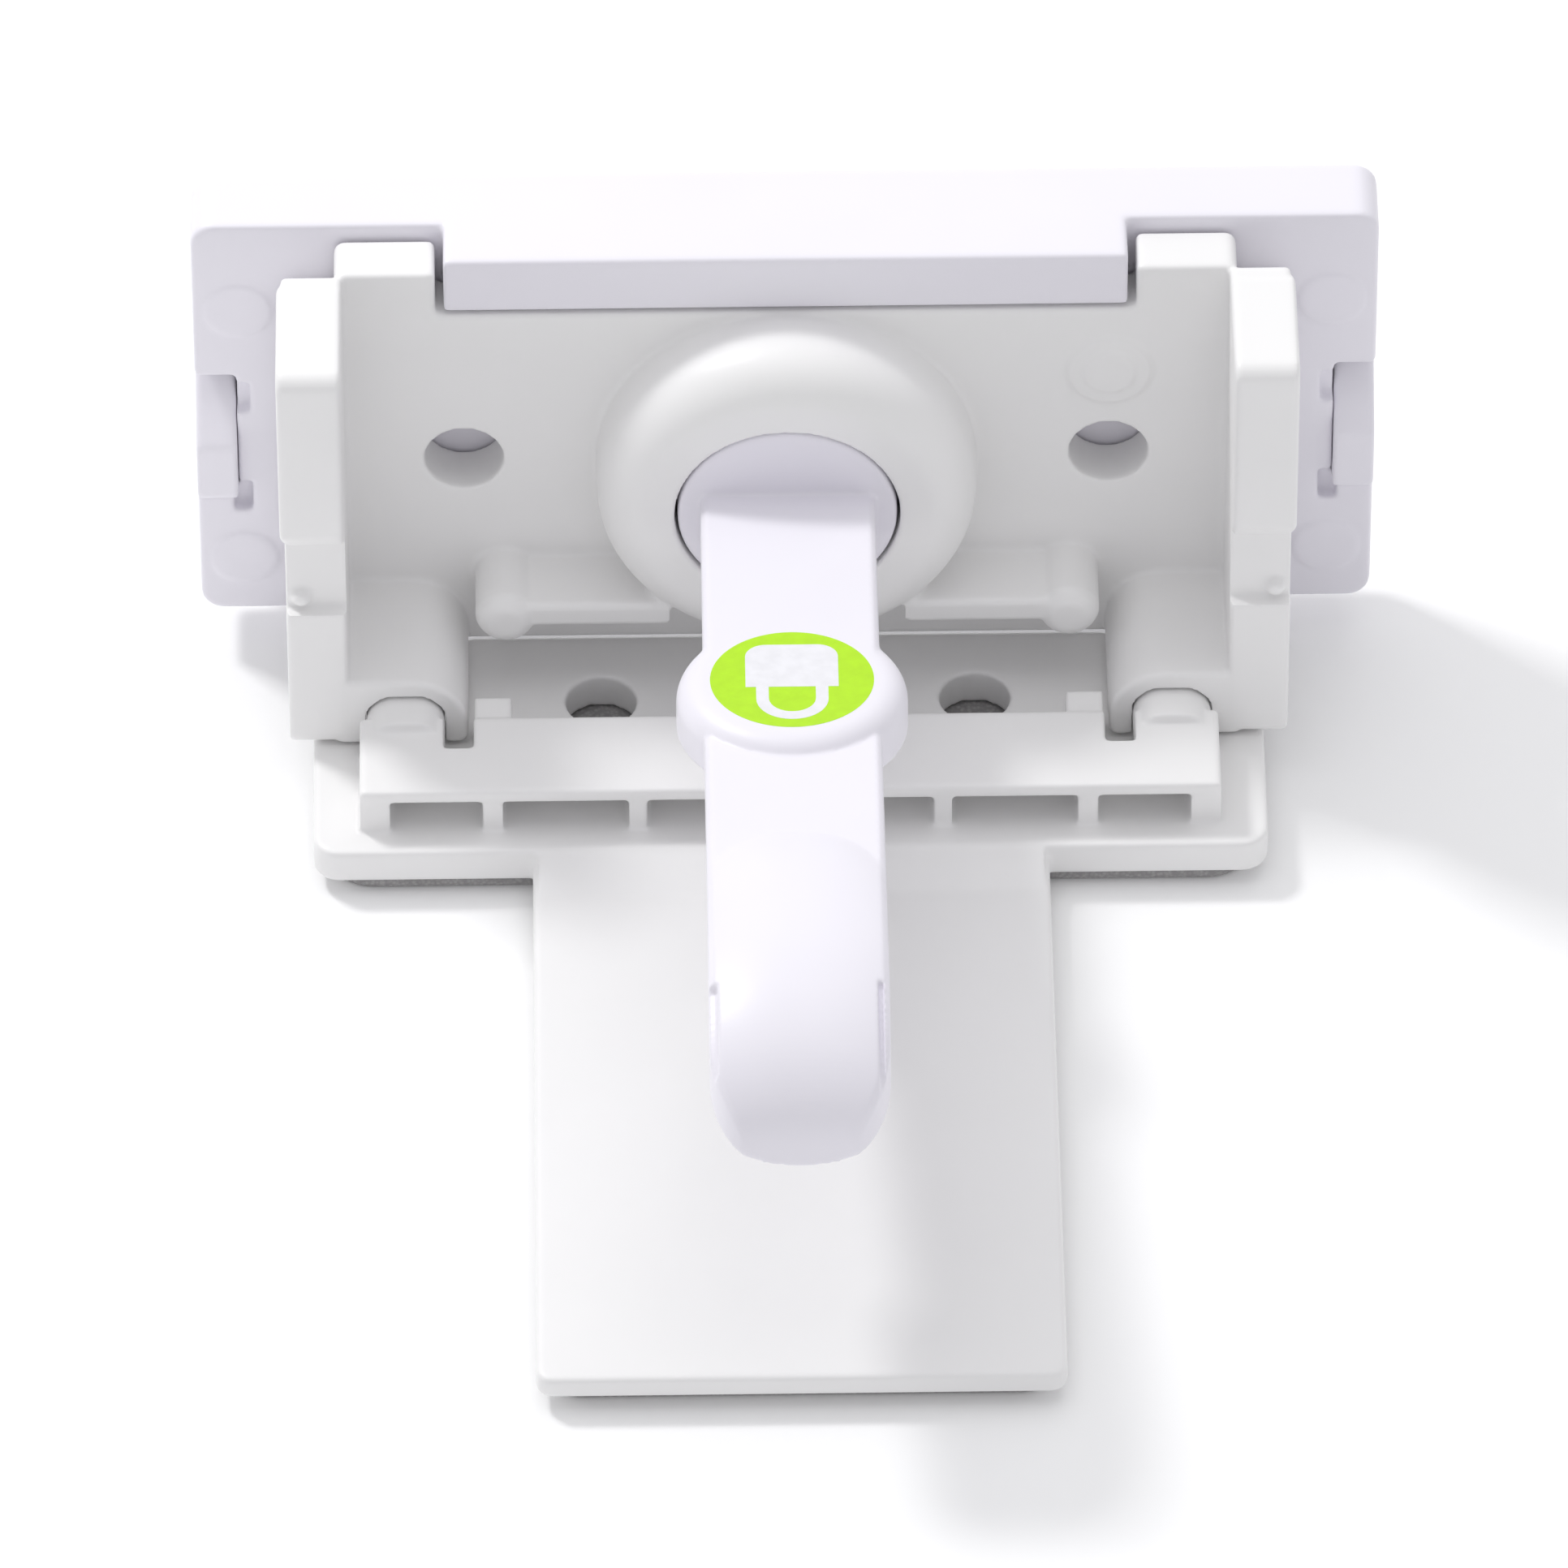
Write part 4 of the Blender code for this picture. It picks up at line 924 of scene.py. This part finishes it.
def make_pieces():
    warm = plastic("warm_white_plastic", (0.9, 0.895, 0.89), 0.4)
    cool = plastic("cool_white_plastic", (0.875, 0.855, 0.915), 0.38)
    inner = plastic("acetal_plastic", (0.78, 0.78, 0.79), 0.45)
    lime = printed("lime_ink", (0.47, 0.83, 0.0))
    white = printed("white_ink", (0.85, 0.85, 0.88))
    foam = cellular_foam("grey_foam_tape", (0.42, 0.41, 0.41))
    steel = bright_steel("plated_steel", (0.60, 0.60, 0.62))
    place(door_plate(), "door", "door_plastic", "door_plate", warm)
    place(flap(), "flap", "flap_plastic", "flap_frame", warm)
    place(lever(), "lever", "lever_plastic", "lever_handle", cool)
    place(catch_cover(), "catch", "catch_plastic", "catch_cover", cool)
    place(catch_base(), "catch", "catch_plastic", "catch_base", cool)
    place(lime_inlay(), "lever", "lime_print", "lime_inlay", lime, False)
    place(padlock_mark(), "lever", "white_print", "padlock_mark", white, False)
    for made, node, body in (
        (crossbar_foam(), "crossbar_foam", "door"),
        (stem_foam(), "stem_foam", "door"),
        (catch_foam(), "catch_foam", "catch"),
    ):
        place(made, body, "foam_tape", node, foam, False)
    recoat(("spring_retainer", "detent_disc", "cam_claw"), inner)
    metal = ["hinge_pin_left", "hinge_pin_right", "detent_spring_upper", "detent_spring_lower"]
    metal += ["retainer_screw_left", "retainer_screw_right", "wave_washer", "cam_screw"]
    recoat(metal, steel)


# --- Studio -----------------------------------------------------------------------------------------


def area_light(name, direction, distance, size, power):
    """A square soft light that looks at the object from a direction."""
    data = bpy.data.lights.new(name, "AREA")
    data.shape = "SQUARE"
    data.size = size
    data.energy = power
    made = bpy.data.objects.new(name, data)
    towards = Vector(direction).normalized()
    made.location = towards * distance
    made.rotation_mode = "QUATERNION"
    made.rotation_quaternion = (-towards).to_track_quat("-Z", "Y")
    bpy.context.scene.collection.objects.link(made)


def floor():
    """A pale sweep under the latch that glows a little, so that it stays near white."""
    half = 2.5
    level = -0.0002
    data = bpy.data.meshes.new("floor")
    corners = [(-half, -half, level), (half, -half, level), (half, half, level), (-half, half, level)]
    data.from_pydata(corners, [], [(0, 1, 2, 3)])
    made = bpy.data.objects.new("floor", data)
    bpy.context.scene.collection.objects.link(made)
    coat, tree, shader, place_out = shader_of("pale_floor")
    shade = ramp(tree, noise(tree, place_out, 4.0), 0.0, 1.0)
    pale = mixed_colour(tree, shade, (0.93, 0.93, 0.93), (0.95, 0.95, 0.95))
    tree.links.new(pale, shader.inputs["Base Color"])
    shader.inputs["Roughness"].default_value = 0.9
    shader.inputs["Emission Color"].default_value = (1.0, 1.0, 1.0, 1.0)
    shader.inputs["Emission Strength"].default_value = 0.06
    data.materials.append(coat)


def studio():
    world = bpy.data.worlds.new("studio")
    world.use_nodes = True
    sky = world.node_tree.nodes["Background"]
    sky.inputs["Color"].default_value = (0.97, 0.97, 1.0, 1.0)
    sky.inputs["Strength"].default_value = 0.6
    bpy.context.scene.world = world
    area_light("key", (-0.57, 0.47, 1.0), 0.9, 0.14, 2.9)
    area_light("overhead", (0.0, 0.15, 1.0), 1.2, 1.2, 3.4)
    area_light("behind", (0.1, 1.0, 0.7), 1.2, 0.9, 1.0)
    floor()
    bpy.context.scene.view_settings.view_transform = "Standard"


def camera():
    """A long lens above the lever's tip, turned a little to the left and rolled a little."""
    elevation = math.radians(43.56)
    azimuth = math.radians(-0.71)
    roll = math.radians(-0.17)
    distance = 1.68
    target = SHIFT + Vector((-0.47, -14.5, 0.0)) * MM
    level = math.cos(elevation)
    towards = Vector((math.sin(azimuth) * level, -math.cos(azimuth) * level, math.sin(elevation)))
    data = bpy.data.cameras.new("camera")
    data.lens = 412.0
    data.sensor_width = 36.0
    data.clip_end = 10.0
    made = bpy.data.objects.new("camera", data)
    made.location = target + towards * distance
    made.rotation_mode = "QUATERNION"
    turn = (-towards).to_track_quat("-Z", "Y")
    made.rotation_quaternion = turn @ Matrix.Rotation(roll, 3, "Z").to_quaternion()
    bpy.context.scene.collection.objects.link(made)
    bpy.context.scene.camera = made


camera()
make_pieces()
studio()
